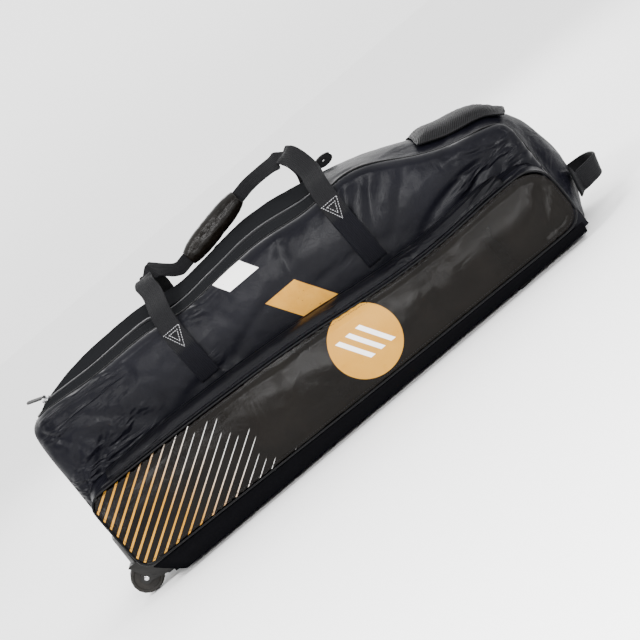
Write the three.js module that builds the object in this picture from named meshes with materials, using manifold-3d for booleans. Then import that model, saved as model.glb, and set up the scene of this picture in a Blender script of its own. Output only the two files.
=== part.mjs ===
// Wheeled cricket kit bag, lying level on its wheels and feet.
// Millimetres, +Z up. X runs along the bag from the wheel end to the nose, and the front pocket faces -Y.
import * as THREE from 'three';
import { mergeVertices } from 'three/addons/utils/BufferGeometryUtils.js';
import Module from 'manifold-3d';

const wasm = await Module();
wasm.setup();

// Driving dimensions
const wall = 2;
const clearance = 0.35;
const seamGap = 0.9;
const bodyLength = 908;
const bodyHeight = 330;
const bodyDepth = 280;
const baseLift = 6;
const baseWall = 2.6;
const baseBend = 8;
const baseEdge = 24;
const skirtBack = 14;
const cornerRadius = 45;
const edgeRadius = 16;
const endEdgeRadius = 26;
const endLean = 20;
const crownHeight = 45;
const crownPower = 2.2;
const wallFullness = 11;
const pipingRadius = 2.2;
const lidEnd = 163;
const lidCorner = 24;
const borderWidth = 23;
const endBorderWidth = 12;
const zipWidth = 8;
const zipThickness = 1.8;
const pocketDepth = 56;
const pocketFullness = 7;
const pocketLeftMargin = 11;
const pocketRightMargin = 9;
const pocketLeftRadius = 24;
const pocketTopRadius = 42;
const pocketBottomRadius = 32;
const flapHeight = 24;
const flapWall = 3;
const webbingWidth = 36;
const webbingWall = 2.2;
const strapSpacing = 322;
const strapOffset = -5;
const strapRise = 68;
const gripLength = 138;
const gripHeight = 31;
const gripDepth = 24;
const gripTilt = 26;
const wheelRadius = 29;
const wheelWidth = 24;
const wheelSpacing = 224;
const wheelOverhang = 11;
const axleRadius = 4;
const runningGap = 0.3;
const wheelGap = 3;
const guardHeight = 113;
const guardWall = 4;
const footRadius = 15;
const footTaper = 2;
const footShift = 22;
const endPocketStart = 316;
const endPocketEnd = 448;
const footSpacing = 240;
const footPlace = 311;
const grabReach = 58;
const grabSpan = 124;
const grabHeight = 58;
const rollWidth = 36;
const rollRadius = 12;
const pullLength = 34;
const pullWidth = 8;
const pullThickness = 2;
const pullLift = 14;

// Places worked out from them
const leftX = -bodyLength / 2;
const rightX = bodyLength / 2;
const halfDepth = bodyDepth / 2;
const pipingGap = pipingRadius + seamGap;
const faceY = -(halfDepth + pocketDepth);
const baseTop = baseLift + baseWall;

// The seam of the long walls, from the wheel end along the top, down the slope and the nose
const seamRows = [
  { along: 0, up: 1.015, crown: 0.35 },
  { along: 0.068, up: 1.021, crown: 0.6 },
  { along: 0.141, up: 0.997, crown: 0.78 },
  { along: 0.296, up: 0.988, crown: 0.84 },
  { along: 0.34, up: 0.955, crown: 0.8 },
  { along: 0.435, up: 0.968, crown: 0.8 },
  { along: 0.531, up: 0.978, crown: 0.92 },
  { along: 0.618, up: 0.942, crown: 1 },
  { along: 0.648, up: 0.938, crown: 0.85 },
  { along: 0.706, up: 0.961, crown: 0.45 },
  { along: 0.742, up: 0.95, crown: 0.3 },
  { along: 0.779, up: 0.906, crown: 0.4 },
  { along: 0.829, up: 0.821, crown: 0.56 },
  { along: 0.866, up: 0.77, crown: 0.6 },
  { along: 0.909, up: 0.726, crown: 0.58 },
  { along: 0.967, up: 0.692, crown: 0.6 },
  { along: 0.992, up: 0.655, crown: 0.7 },
  { along: 1, up: 0.6, crown: 0.85 },
  { along: 1, up: 0.45, crown: 1.1 },
  { along: 1, up: 0.33, crown: 1.25 },
  { along: 1, up: 0.18, crown: 1.1 },
  { along: 1, up: 0.09, crown: 0.85 },
  { along: 1, up: 0.025, crown: 0.42 },
];
// Upper and lower edge of the front pocket's face
const pocketTopRows = [
  { along: 0, up: 0.572 },
  { along: 0.27, up: 0.545 },
  { along: 0.486, up: 0.503 },
  { along: 0.664, up: 0.442 },
  { along: 0.772, up: 0.427 },
  { along: 0.9, up: 0.439 },
  { along: 1, up: 0.43 },
];
const pocketBottomRows = [
  { along: 0, up: 0.138 },
  { along: 0.54, up: 0.094 },
  { along: 1, up: 0.072 },
];
// Broad folds of the front wall: place, turn in degrees, half length and spread
// in shares of the height, depth in mm
const frontFolds = [
  { along: 0.04, up: 0.8, turn: -55, reach: 0.18, spread: 0.04, depth: 3 },
  { along: 0.035, up: 0.66, turn: 60, reach: 0.14, spread: 0.035, depth: 3.5 },
  { along: 0.12, up: 0.86, turn: -40, reach: 0.12, spread: 0.05, depth: 2 },
  { along: 0.72, up: 0.8, turn: 55, reach: 0.16, spread: 0.05, depth: 2.5 },
  { along: 0.86, up: 0.56, turn: 10, reach: 0.2, spread: 0.04, depth: 3 },
  { along: 0.5, up: 0.66, turn: 5, reach: 0.3, spread: 0.05, depth: 1.5 },
];
const backFolds = [
  { along: 0.2, up: 0.7, turn: -35, reach: 0.3, spread: 0.07, depth: 3 },
  { along: 0.55, up: 0.45, turn: 20, reach: 0.4, spread: 0.08, depth: 3 },
  { along: 0.85, up: 0.4, turn: -50, reach: 0.2, spread: 0.06, depth: 3 },
];

// Small mathematics
const clamp01 = (value) => Math.min(Math.max(value, 0), 1);
const mix = (a, b, share) => a + (b - a) * share;
const smooth = (share) => clamp01(share) ** 2 * (3 - 2 * clamp01(share));
const span = (count, from = 0, to = 1) =>
  Array.from({ length: count + 1 }, (_, i) => mix(from, to, i / count));
const whole = (from, to) => Array.from({ length: Math.max(to - from + 1, 0) }, (_, i) => from + i);
const point = (x, y, z) => new THREE.Vector3(x, y, z);

// A table's smooth curve, sampled as places
function sampled(rows, steps) {
  const knots = rows.map((row) =>
    point(leftX + row.along * bodyLength, (row.crown ?? 0) * crownHeight, baseLift + row.up * bodyHeight));
  return new THREE.CatmullRomCurve3(knots, false, 'centripetal').getSpacedPoints(steps);
}

// Value of a sampled curve at x, for the stretch in which x grows
function along(samples, x, key) {
  if (x <= samples[0].x) return samples[0][key];
  for (let i = 1; i < samples.length; i++) {
    const [a, b] = [samples[i - 1], samples[i]];
    if (b.x >= x && b.x > a.x) return mix(a[key], b[key], (x - a.x) / (b.x - a.x));
  }
  return samples.at(-1)[key];
}

const seam = sampled(seamRows, 260);
const cornerTurn = seam.findIndex((p) => p.x >= rightX - 0.05);
const seamTop = seam.slice(0, cornerTurn + 1);
const pocketTop = sampled(pocketTopRows, 60);
const pocketBottom = sampled(pocketBottomRows, 30);
const topAt = (x) => along(seamTop, x, 'z');
const crownAt = (x) => along(seamTop, x, 'y');
const pocketTopAt = (x) => along(pocketTop, x, 'z');
const pocketBottomAt = (x) => along(pocketBottom, x, 'z');

function distanceToLine(u, v, line, first, second) {
  let best = Infinity;
  for (let i = 1; i < line.length; i++) {
    const [a, b] = [line[i - 1], line[i]];
    const [du, dv] = [b[first] - a[first], b[second] - a[second]];
    const length = du * du + dv * dv;
    const share = length > 0 ? clamp01(((u - a[first]) * du + (v - a[second]) * dv) / length) : 0;
    best = Math.min(best, Math.hypot(u - a[first] - share * du, v - a[second] - share * dv));
  }
  return best;
}

// Plan of the upright walls: way is 0 at the middle of the wheel end and grows towards the front
const endHalf = halfDepth - cornerRadius;
const arcLength = (Math.PI / 2) * cornerRadius;
function plan(way) {
  const side = way < 0 ? 1 : -1;
  const gone = Math.abs(way);
  if (gone < endHalf) return { x: leftX, y: side * gone, nx: -1, ny: 0 };
  const turn = Math.min((gone - endHalf) / cornerRadius, Math.PI / 2);
  const rest = Math.max(gone - endHalf - arcLength, 0);
  return {
    x: leftX + cornerRadius * (1 - Math.cos(turn)) + rest,
    y: side * (endHalf + cornerRadius * Math.sin(turn)),
    nx: -Math.cos(turn),
    ny: side * Math.sin(turn),
  };
}
const wayAt = (x) => endHalf + arcLength + (x - leftX - cornerRadius);
const straightStart = leftX + cornerRadius;
const rimAt = (x) => mix(endEdgeRadius, edgeRadius, smooth((x - leftX) / (2 * cornerRadius)));
const rounding = (distance, radius) =>
  distance < radius ? radius * (1 - Math.sqrt(1 - (1 - distance / radius) ** 2)) : 0;

function foldDepth(folds, x, z) {
  let depth = 0;
  for (const fold of folds) {
    const turn = THREE.MathUtils.degToRad(fold.turn);
    const dx = x - (leftX + fold.along * bodyLength);
    const dz = z - (baseLift + fold.up * bodyHeight);
    const onward = (dx * Math.cos(turn) + dz * Math.sin(turn)) / (fold.reach * bodyHeight);
    const across = (dz * Math.cos(turn) - dx * Math.sin(turn)) / (fold.spread * bodyHeight);
    depth += fold.depth * Math.exp(-(onward ** 2) - across ** 2);
  }
  return depth;
}

// Fullness of the cloth between its seams
const footOfFullness = (way, x) =>
  (way > 0 && x > leftX ? pocketTopAt(x) + flapHeight + 4 : baseLift + 66);
function fullness(way, x, z, top) {
  const front = way > 0;
  const foot = footOfFullness(way, x);
  const height = top - foot;
  const up = (z - foot) / height;
  if (up <= 0 || up >= 1) return 0;
  const ends = Math.sqrt(clamp01((x - leftX) / 120) * clamp01((rightX - x) / 90));
  const share = Math.min(height / (0.36 * bodyHeight), 1);
  const folds = foldDepth(front ? frontFolds : backFolds, x, z) * Math.min(8 * up * (1 - up), 1);
  return (wallFullness * Math.sin(Math.PI * up) * share * ends) - folds * clamp01(4 * ends);
}

// Outer skin of the upright walls
function wallPoint(way, z) {
  const p = plan(way);
  const top = topAt(p.x);
  const straight = p.x > straightStart;
  const distance = straight ? distanceToLine(p.x, z, seam, 'x', 'z') : Math.max(top - z, 0);
  const inset = rounding(distance, rimAt(p.x));
  const full = Math.abs(way) > endHalf ? fullness(way, p.x, z, top) : 0;
  const low = 1 - clamp01((z - baseLift) / bodyHeight);
  const lean = endLean * low * (1 - smooth((p.x - leftX) / (4 * cornerRadius)));
  return point(p.x + p.nx * (full - inset) - lean, p.y + p.ny * (full - inset), z);
}

// Depth of the front wall's skin at a place
function frontSkinY(x, z) {
  let [low, high] = [0, wayAt(rightX)];
  for (let i = 0; i < 40; i++) {
    const middle = (low + high) / 2;
    if (wallPoint(middle, z).x < x) low = middle;
    else high = middle;
  }
  return wallPoint(high, z).y;
}

// Seam in plan, and the crowned top inside it
const seamReach = wayAt(lidEnd + 60);
const seamPlan = span(160, seamReach, -seamReach).map((way) => {
  const p = plan(way);
  const rim = rimAt(p.x);
  return { x: p.x - p.nx * rim, y: p.y - p.ny * rim };
});
const topHalf = halfDepth - edgeRadius;
function crownPoint(x, y, lift = 0) {
  const inside = Math.min(distanceToLine(x, y, seamPlan, 'x', 'y') / topHalf, 1);
  return point(x, y, topAt(x) + crownAt(x) * (1 - (1 - inside) ** crownPower) + lift);
}

// The path of the nose: down the slope and the end wall
const noseStart = seam.findIndex((p) => p.x >= lidEnd + 2 * clearance);
const nosePath = seam.slice(noseStart);
const noseLength = nosePath.slice(1).reduce((sum, p, i) => sum + Math.hypot(p.x - nosePath[i].x,
  p.z - nosePath[i].z), 0);
function nosePoint(share, across, lift = 0) {
  const place = clamp01(share) * (nosePath.length - 1);
  const i = Math.min(Math.floor(place), nosePath.length - 2);
  const [a, b] = [nosePath[i], nosePath[i + 1]];
  const length = Math.hypot(b.x - a.x, b.z - a.z);
  const tilt = smooth(share * 8);
  const [nx, nz] = [(-(b.z - a.z) / length) * tilt, mix(1, (b.x - a.x) / length, tilt)];
  const rise = mix(a.y, b.y, place - i) * (1 - Math.abs(across) ** crownPower) + lift;
  const y = across * (topHalf - pipingGap);
  return point(mix(a.x, b.x, place - i) + nx * rise, y, mix(a.z, b.z, place - i) + nz * rise);
}

// Closed cloth sheet: an outer grid of points, an inner one a wall's thickness inside it, and their rim
function sheet(grid, thickness, inward) {
  const [rows, columns] = [grid.length, grid[0].length];
  const at = (i, j) => grid[Math.min(Math.max(i, 0), rows - 1)][Math.min(Math.max(j, 0), columns - 1)];
  const outer = [];
  const inner = [];
  for (let i = 0; i < rows; i++) {
    for (let j = 0; j < columns; j++) {
      const du = at(i + 1, j).clone().sub(at(i - 1, j));
      const dv = at(i, j + 1).clone().sub(at(i, j - 1));
      const normal = du.cross(dv).normalize();
      if (normal.dot(inward(grid[i][j])) > 0) normal.negate();
      outer.push(grid[i][j]);
      inner.push(grid[i][j].clone().addScaledVector(normal, -thickness));
    }
  }
  const count = outer.length;
  const faces = [];
  const quad = (a, b, c, d) => faces.push(a, b, c, a, c, d);
  const id = (i, j) => i * columns + j;
  for (let i = 0; i < rows - 1; i++) {
    for (let j = 0; j < columns - 1; j++) {
      quad(id(i, j), id(i + 1, j), id(i + 1, j + 1), id(i, j + 1));
      quad(count + id(i, j), count + id(i, j + 1), count + id(i + 1, j + 1), count + id(i + 1, j));
    }
  }
  const rim = [
    ...whole(0, columns - 1).map((j) => id(0, j)),
    ...whole(1, rows - 1).map((i) => id(i, columns - 1)),
    ...whole(0, columns - 2).reverse().map((j) => id(rows - 1, j)),
    ...whole(1, rows - 2).reverse().map((i) => id(i, 0)),
  ];
  rim.forEach((a, k) => {
    const b = rim[(k + 1) % rim.length];
    quad(a, b, count + b, count + a);
  });
  return closed([...outer, ...inner], faces);
}

// A section carried along a path: frames hold a place and the two directions of the section
function sweep(section, frames, loop = false) {
  const sides = section.length;
  const points = frames.flatMap((frame) =>
    section.map(([u, v]) =>
      frame.at.clone().addScaledVector(frame.across, u * (frame.scale ?? 1)).addScaledVector(frame.out, v)));
  const faces = [];
  const rings = frames.length;
  for (let i = 0; i < (loop ? rings : rings - 1); i++) {
    for (let j = 0; j < sides; j++) {
      const [a, b] = [i * sides, ((i + 1) % rings) * sides];
      const k = (j + 1) % sides;
      faces.push(a + j, b + j, b + k, a + j, b + k, a + k);
    }
  }
  for (let j = 1; j < sides - 1 && !loop; j++) {
    const last = (rings - 1) * sides;
    faces.push(0, j, j + 1, last, last + j + 1, last + j);
  }
  return closed(points, faces);
}

// Indexed geometry whose faces point out
function closed(points, faces) {
  let volume = 0;
  for (let i = 0; i < faces.length; i += 3) {
    const [a, b, c] = [points[faces[i]], points[faces[i + 1]], points[faces[i + 2]]];
    volume += a.dot(b.clone().cross(c));
  }
  const index = [...faces];
  if (volume < 0) {
    for (let i = 0; i < index.length; i += 3) [index[i + 1], index[i + 2]] = [index[i + 2], index[i + 1]];
  }
  const geometry = new THREE.BufferGeometry();
  geometry.setAttribute('position', new THREE.Float32BufferAttribute(points.flatMap((p) => p.toArray()), 3));
  geometry.setIndex(index);
  geometry.computeVertexNormals();
  return geometry;
}

function solidOf(geometry) {
  const bare = geometry.clone();
  bare.deleteAttribute('normal');
  bare.deleteAttribute('uv');
  const merged = mergeVertices(bare, 1e-4);
  return new wasm.Manifold(new wasm.Mesh({
    numProp: 3,
    vertProperties: merged.attributes.position.array,
    triVerts: new Uint32Array(merged.index.array),
  }));
}

function geometryOf(solid) {
  const mesh = solid.getMesh();
  const geometry = new THREE.BufferGeometry();
  geometry.setAttribute('position', new THREE.BufferAttribute(new Float32Array(mesh.vertProperties), 3));
  geometry.setIndex(new THREE.BufferAttribute(new Uint32Array(mesh.triVerts), 1));
  geometry.computeVertexNormals();
  return geometry;
}

const round = (radius, sides, start = 0) =>
  span(sides, 0, 1).slice(0, sides).map((share) => {
    const turn = 2 * Math.PI * share + start;
    return [radius * Math.cos(turn), radius * Math.sin(turn)];
  });

// Frames at the points of a piping's run, carried on without twist
function pipeFrames(points) {
  let across = point(0, 1, 0);
  return points.map((at, i) => {
    const way = points[Math.min(i + 1, points.length - 1)].clone().sub(points[Math.max(i - 1,
      0)]).normalize();
    across = across.clone().addScaledVector(way, -across.dot(way)).normalize();
    return { at, across, out: way.clone().cross(across) };
  });
}

// Materials
const colours = {
  satin: [0x2a2a30, 0.55],
  woven: [0x35363a, 0.85],
  coated: [0x24211f, 0.4],
  webbing: [0x3b3b3d, 0.9],
  binding: [0x1b1b1d, 0.6],
  mesh: [0x1e1e20, 0.5],
  plastic: [0x1c1a19, 0.5],
  rubber: [0x2b2826, 0.8],
  steel: [0xb8bac0, 0.35],
};
const materials = Object.fromEntries(Object.entries(colours).map(([name, [color, roughness]]) =>
  [name, new THREE.MeshStandardMaterial({ name, color, roughness, metalness: name === 'steel' ? 1 : 0 })]));

const bag = new THREE.Group();
function add(name, geometry, material) {
  const mesh = new THREE.Mesh(geometry, materials[material]);
  mesh.name = name;
  bag.add(mesh);
  return mesh;
}

const bagMiddle = point(0, 0, baseLift + bodyHeight / 2);
const towardsMiddle = (p) => bagMiddle.clone().sub(p);

// Long walls and wheel-end wall
const guardInner = leftX + 50;
const rowGap = 1.4;
const rimTurns = [32, 60].map(THREE.MathUtils.degToRad);

// Height at which a column of the wall comes within a distance of its seam
function heightNear(x, distance, low, high) {
  const wanted = Math.min(distance, 0.98 * (rightX - x));
  let [below, above] = [low, high];
  for (let i = 0; i < 24; i++) {
    const middle = (below + above) / 2;
    if (distanceToLine(x, middle, seam, 'x', 'z') > wanted) below = middle;
    else above = middle;
  }
  return below;
}

function wallColumn(way, bottom, upperSteps) {
  const { x } = plan(way);
  const rim = rimAt(x);
  const top = topAt(x);
  const foot = footOfFullness(way, x);
  const turns = [0, ...rimTurns, Math.PI / 2 - pipingGap / rim];
  const turned = turns.map((turn) => heightNear(x, rim * (1 - Math.sin(turn)), bottom, top));
  for (let i = turned.length - 2; i >= 0; i--) turned[i] = Math.min(turned[i], turned[i + 1] - rowGap);
  const low = Math.max(mix(bottom, foot, 0.5), bottom + rowGap);
  const middle = Math.max(Math.min(foot, turned[0] - 3 * rowGap), low + rowGap);
  const upper = span(upperSteps, middle, turned[0]).slice(0, -1);
  return [bottom, low, ...upper, ...turned].map((z) => wallPoint(way, z));
}

const cornerWays = span(4, endHalf + 0.45 * cornerRadius, endHalf + arcLength);
const endSeam = cornerWays[0] - 1.5 * seamGap;
const endWays = span(8, endSeam, -endSeam);
function longWall(side, columns, lowest) {
  const step = wayAt(guardInner);
  const straight = span(columns, step + 2, wayAt(rightX - edgeRadius));
  const lastTurn = Math.PI / 2 - pipingGap / edgeRadius;
  const edge = [...rimTurns, lastTurn].map((turn) => wayAt(rightX - edgeRadius * (1 - Math.sin(turn))));
  return [...cornerWays, step - 2, ...straight, ...edge].map((way) =>
    wallColumn(side * way, way < step ? guardTop : lowest, side > 0 ? 4 : 3));
}

const guardTop = baseLift + 62;
const frontWall = longWall(1, 23, baseTop + clearance);
const backWall = longWall(-1, 18, baseLift + baseEdge + clearance);
add('front_panel', sheet(frontWall, wall, towardsMiddle), 'satin');
add('back_panel', sheet(backWall, wall, towardsMiddle), 'satin');
const endWall = endWays.map((way) => wallColumn(way, guardTop, 2));
add('wheel_end_panel', sheet(endWall, wall, towardsMiddle), 'satin');

// Nose: sloping top and rounded end wall in one panel
const noseWall = span(18).map((share) => span(8, -1, 1).map((across) => nosePoint(share, across)));
add('nose_panel', sheet(noseWall, wall, towardsMiddle), 'satin');

// Top border, main zip and lid
const bothSides = (front) => [...front, ...front.slice(0, -1).reverse().map(([x, y]) => [x, -y])];
const topSteps = { straight: 14, corner: 4, end: 2 };
function seamIn(gap) {
  const ways = [
    ...span(topSteps.straight, wayAt(lidEnd), wayAt(straightStart)),
    ...span(topSteps.corner, endHalf + arcLength, endHalf).slice(1),
    ...span(topSteps.end, endHalf, 0).slice(1),
  ];
  return bothSides(ways.map((way) => {
    const p = plan(way);
    const inset = rimAt(p.x) + gap;
    return [p.x - p.nx * inset, p.y - p.ny * inset];
  }));
}
function inner(gap) {
  const half = halfDepth - edgeRadius - gap;
  const left = leftX + endEdgeRadius + gap + endBorderWidth - borderWidth;
  return bothSides([
    ...span(topSteps.straight, lidEnd, left + lidCorner).map((x) => [x, -half]),
    ...span(topSteps.corner, 0, Math.PI / 2).slice(1).map((turn) =>
      [left + lidCorner * (1 - Math.sin(turn)), -half + lidCorner * (1 - Math.cos(turn))]),
    ...span(topSteps.end, -half + lidCorner, 0).slice(1).map((y) => [left, y]),
  ]);
}
const ribbonGrid = (outerPath, innerPath, steps, lift = 0) =>
  outerPath.map(([x, y], i) =>
    span(steps).map((share) =>
      crownPoint(mix(x, innerPath[i][0], share), mix(y, innerPath[i][1], share), lift)));
const downwards = () => point(0, 0, -1);
add('top_border', sheet(ribbonGrid(seamIn(pipingRadius + 2 * clearance), inner(borderWidth), 2), wall,
  downwards), 'woven');
const zipInner = borderWidth + zipWidth;
add('main_zip', sheet(
  ribbonGrid(inner(borderWidth + clearance), inner(zipInner - clearance),
    1), zipThickness, downwards), 'binding');

const lidInset = zipInner + 2 * clearance;
const lidHalf = halfDepth - edgeRadius - lidInset;
const lidLeft = leftX + endEdgeRadius + lidInset + endBorderWidth - borderWidth;
const cornerHalf = (x, left, half, radius) => {
  const into = Math.max(left + radius - x, 0);
  return half - radius + Math.sqrt(Math.max(radius ** 2 - into ** 2, 0));
};
const lidStations = [...span(3, 0, Math.PI / 2).map((turn) => lidLeft + lidCorner * (1 - Math.cos(turn))),
  ...span(13, lidLeft + lidCorner, lidEnd).slice(1)];
const lidGrid = lidStations.map((x) => {
  const half = cornerHalf(x, lidLeft, lidHalf, lidCorner);
  return span(6, -half, half).map((y) => crownPoint(x, y));
});
add('lid', sheet(lidGrid, wall, downwards), 'woven');

// Edge piping: one run on each long wall, from the foot of the nose to the middle of the wheel end
function pipingRun(side) {
  const along = seamIn(0).slice(0, topSteps.straight + topSteps.corner + topSteps.end + 1);
  const top = along.map(([x, y], i) => point(x, side * Math.min(y, -pipingGap), topAt(x)));
  const nose = span(26).slice(0, 26).map((share) => {
    const place = nosePath[Math.round((1 - share) * (nosePath.length - 1))];
    return point(place.x, -side * topHalf, place.z);
  });
  return [...nose, ...top];
}
for (const [name, side] of [['piping_front', 1], ['piping_back', -1]]) {
  add(name, sweep(round(pipingRadius, 5), pipeFrames(pipingRun(side))), 'binding');
}

// Front pocket: its outline, face, side strip, zip, rolled flap and piping
const pocketLeft = leftX + pocketLeftMargin;
const pocketRight = rightX - pocketRightMargin;
const pocketCorners = [
  { left: true, top: true, radius: pocketLeftRadius },
  { left: false, top: true, radius: pocketTopRadius },
  { left: false, top: false, radius: pocketBottomRadius },
  { left: true, top: false, radius: pocketLeftRadius },
];

function pocketOutline(outset, topSteps, arcSteps = 5) {
  const edge = (x, top) => (top ? pocketTopAt(x) + outset : pocketBottomAt(x) - outset);
  const loop = [];
  pocketCorners.forEach((corner, k) => {
    const sx = corner.left ? 1 : -1;
    const sz = corner.top ? -1 : 1;
    const cx = (corner.left ? pocketLeft - outset : pocketRight + outset) + sx * corner.radius;
    const cz = edge(cx, corner.top) + sz * corner.radius;
    span(arcSteps, 0, Math.PI / 2).forEach((turn) => {
      const t = k % 2 === 0 ? turn : Math.PI / 2 - turn;
      const [nx, nz] = [-sx * Math.cos(t), -sz * Math.sin(t)];
      loop.push({ x: cx + nx * corner.radius, z: cz + nz * corner.radius, nx, nz });
    });
    if (k % 2 === 0) {
      const next = pocketCorners[k + 1];
      const inwards = next.left ? 1 : -1;
      const to = (next.left ? pocketLeft - outset : pocketRight + outset) + inwards * next.radius;
      span(topSteps, cx, to).slice(1, -1).forEach((x) =>
        loop.push({ x, z: edge(x, corner.top), nx: 0, nz: -sz }));
    }
  });
  return loop;
}

function pocketFaceGrid() {
  const edge = pipingGap;
  const [left, right] = [pocketLeft + edge, pocketRight - edge];
  const bend = (radius) => span(3, 0, Math.PI / 2).map((turn) => (radius - edge) * (1 - Math.cos(turn)));
  const stations = [
    ...bend(pocketLeftRadius).map((d) => left + d),
    ...span(14, left + pocketLeftRadius, right - pocketTopRadius).slice(1),
    ...bend(pocketTopRadius).reverse().map((d) => right - d),
  ];
  return stations.map((x) => {
    const cut = (radius, into) => {
      const inner = radius - edge;
      const rest = Math.max(inner - into, 0);
      return inner - Math.sqrt(Math.max(inner ** 2 - rest ** 2, 0));
    };
    const top = pocketTopAt(x) - edge - Math.max(cut(pocketLeftRadius, x - left),
      cut(pocketTopRadius, right - x));
    const low = pocketBottomAt(x) + edge
      + Math.max(cut(pocketLeftRadius, x - left), cut(pocketBottomRadius, right - x));
    const ends = Math.sqrt(clamp01((x - left) / 60) * clamp01((right - x) / 60));
    return [0, 0.07, 0.3, 0.6, 0.9, 1].map((up) => {
      const full = pocketFullness * ends * Math.sqrt(Math.sin(Math.PI * clamp01(up)));
      return point(x, faceY - full, mix(low, top, up));
    });
  });
}
const backwards = () => point(0, 1, 0);
add('pocket_face', sheet(pocketFaceGrid(), wall, backwards), 'coated');

const outline = pocketOutline(0, 15, 4);
add('pocket_piping', sweep(round(pipingRadius, 5),
  outline.map((p) => ({ at: point(p.x, faceY, p.z), across: point(p.nx, 0, p.nz),
    out: point(0, -1, 0) })), true), 'binding');

const sideRun = [...outline.slice(-3), ...outline.slice(0,
  outline.findIndex((p) => p.nz < -0.5 && p.nx >= 0))];
const gussetFront = faceY + pipingRadius + clearance;
const flareTop = 13;
const flareSide = 5;
const gussetGrid = sideRun.map((p) => span(2).map((share) => {
  const flare = mix(flareSide, flareTop, Math.max(p.nz, 0)) * share;
  const [x, z] = [p.x + p.nx * flare, p.z + p.nz * flare];
  const back = Math.min(frontSkinY(x, z), frontSkinY(x - 2 * wall * p.nx,
    z - 2 * wall * p.nz)) - 2 * clearance;
  return point(x, mix(gussetFront, back, share), z);
}));
const pocketMiddle = (p) => point(0, p.y, baseLift + 0.32 * bodyHeight).sub(p);
add('pocket_gusset', sheet(gussetGrid, wall, pocketMiddle), 'satin');

const flapLeft = pocketLeft + pocketLeftRadius + 30;
const flapRight = pocketRight - pocketTopRadius - 22;
const zipLift = flareTop * 0.2 + zipThickness / 2 + clearance;
const zipRun = span(15, flapLeft - 20, flapRight + 20);
add('pocket_zip', sweep([[-zipWidth / 2, -zipThickness / 2], [zipWidth / 2, -zipThickness / 2],
  [zipWidth / 2, zipThickness / 2], [-zipWidth / 2, zipThickness / 2]],
zipRun.map((x) => ({
  at: point(x, gussetFront + zipWidth / 2 + 1, pocketTopAt(x) + zipLift),
  across: point(0, 1, 0),
  out: point(0, 0, 1),
}))), 'binding');

const flapRows = [
  { back: 0, up: 0.86 },
  { back: 0.24, up: 1 },
  { back: 0.62, up: 0.96 },
  { back: 0.86, up: 0.78 },
  { back: 0.97, up: 0.52 },
  { back: 0.96, up: 0.3 },
];
const flapGrid = span(15, flapLeft, flapRight).map((x) => {
  const ends = Math.min((x - flapLeft) / 60, (flapRight - x) / 60, 1);
  const tall = flapHeight * mix(0.82, 1, smooth(ends));
  return flapRows.map((row) => {
    const z = pocketTopAt(x) + row.up * tall;
    const back = frontSkinY(x, z) - 2 * clearance;
    return point(x, mix(back, faceY, row.back), z);
  });
});
const flapCore = (p) => point(p.x, faceY + pocketDepth / 2, pocketTopAt(p.x)).sub(p);
add('pocket_flap', sheet(flapGrid, flapWall, flapCore), 'satin');

// Base: floor, front skirt up to the pocket's lower piping, and a low back edge
function baseSection(x) {
  const skirtTop = pocketBottomAt(x) - pipingGap;
  const frontY = faceY + skirtBack;
  return [
    { y: faceY + 3, z: skirtTop },
    { y: mix(faceY + 3, frontY, 0.55), z: mix(skirtTop, baseLift, 0.5) },
    { y: frontY, z: baseLift + baseBend },
    { y: frontY + baseBend, z: baseLift },
    ...span(6, frontY + 3 * baseBend, halfDepth - 3 * baseBend).map((y) => ({ y, z: baseLift })),
    { y: halfDepth - baseBend, z: baseLift },
    { y: halfDepth, z: baseLift + baseBend },
    { y: halfDepth, z: baseLift + baseEdge },
  ];
}
const noseFoot = nosePath.at(-1);
const guardHalf = wheelSpacing / 2 + wheelWidth / 2 + 1.5 + guardWall;
const skirtLow = leftX + 62;
const skirtHigh = leftX + 24;
const skirtRise = 40;
const baseGrid = span(11).map((share) => {
  const middle = mix(guardInner, rightX, share);
  return baseSection(middle).map(({ y, z }) => {
    const across = Math.min(Math.abs(y) / (topHalf - pipingGap), 1);
    const bulge = noseFoot.y * (1 - across ** crownPower);
    const clear = y < -guardHalf - 2 * clearance;
    const left = clear ? mix(skirtLow, skirtHigh,
      clamp01((z - baseLift) / skirtRise)) : guardInner + clearance;
    const right = rightX - edgeRadius * across + bulge;
    return point(mix(left, right, share), y, z);
  });
});
const baseCore = (p) => point(p.x, 0, baseLift + 60).sub(p);
add('base_tray', sheet(baseGrid, baseWall, baseCore), 'woven');

// Moulded guard across the wheel end's bottom corner, with a well round each wheel
const wheelX = leftX - wheelOverhang;
const wheelZ = wheelRadius;
const guardOut = leftX - endLean - guardWall;
const guardBottom = 12;
const guardShoulder = 60;
const guardSlope = 48;

// Outline in X and Z carried across the bag's width
function acrossBag(outlinePoints, width, y = 0) {
  const shape = new THREE.Shape(outlinePoints.map(([x, z]) => new THREE.Vector2(x, z)));
  const geometry = new THREE.ExtrudeGeometry(shape, { depth: width, bevelEnabled: false, curveSegments: 8 });
  geometry.rotateX(Math.PI / 2);
  geometry.translate(0, y + width / 2, 0);
  return geometry;
}
function barrel(x, y, z, radius, width, sides = 18) {
  const geometry = new THREE.CylinderGeometry(radius, radius, width, sides);
  geometry.translate(x, y, z);
  return geometry;
}

// Upper flange, lying on the end wall and round its corners
const flangeCorner = [endSeam, ...cornerWays.slice(0, 2)];
const flangeWays = [...flangeCorner.toReversed(), ...endWays.slice(1, -1),
  ...flangeCorner.map((way) => -way)];
const flangeGrid = flangeWays.map((way) => {
  const { nx, ny } = plan(way);
  const out = guardWall + 2 * clearance;
  return [guardShoulder - 3, guardShoulder + 22, guardHeight].map((z) => {
    const p = wallPoint(way, z);
    return point(p.x + nx * out, p.y + ny * out, z);
  });
});

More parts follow.
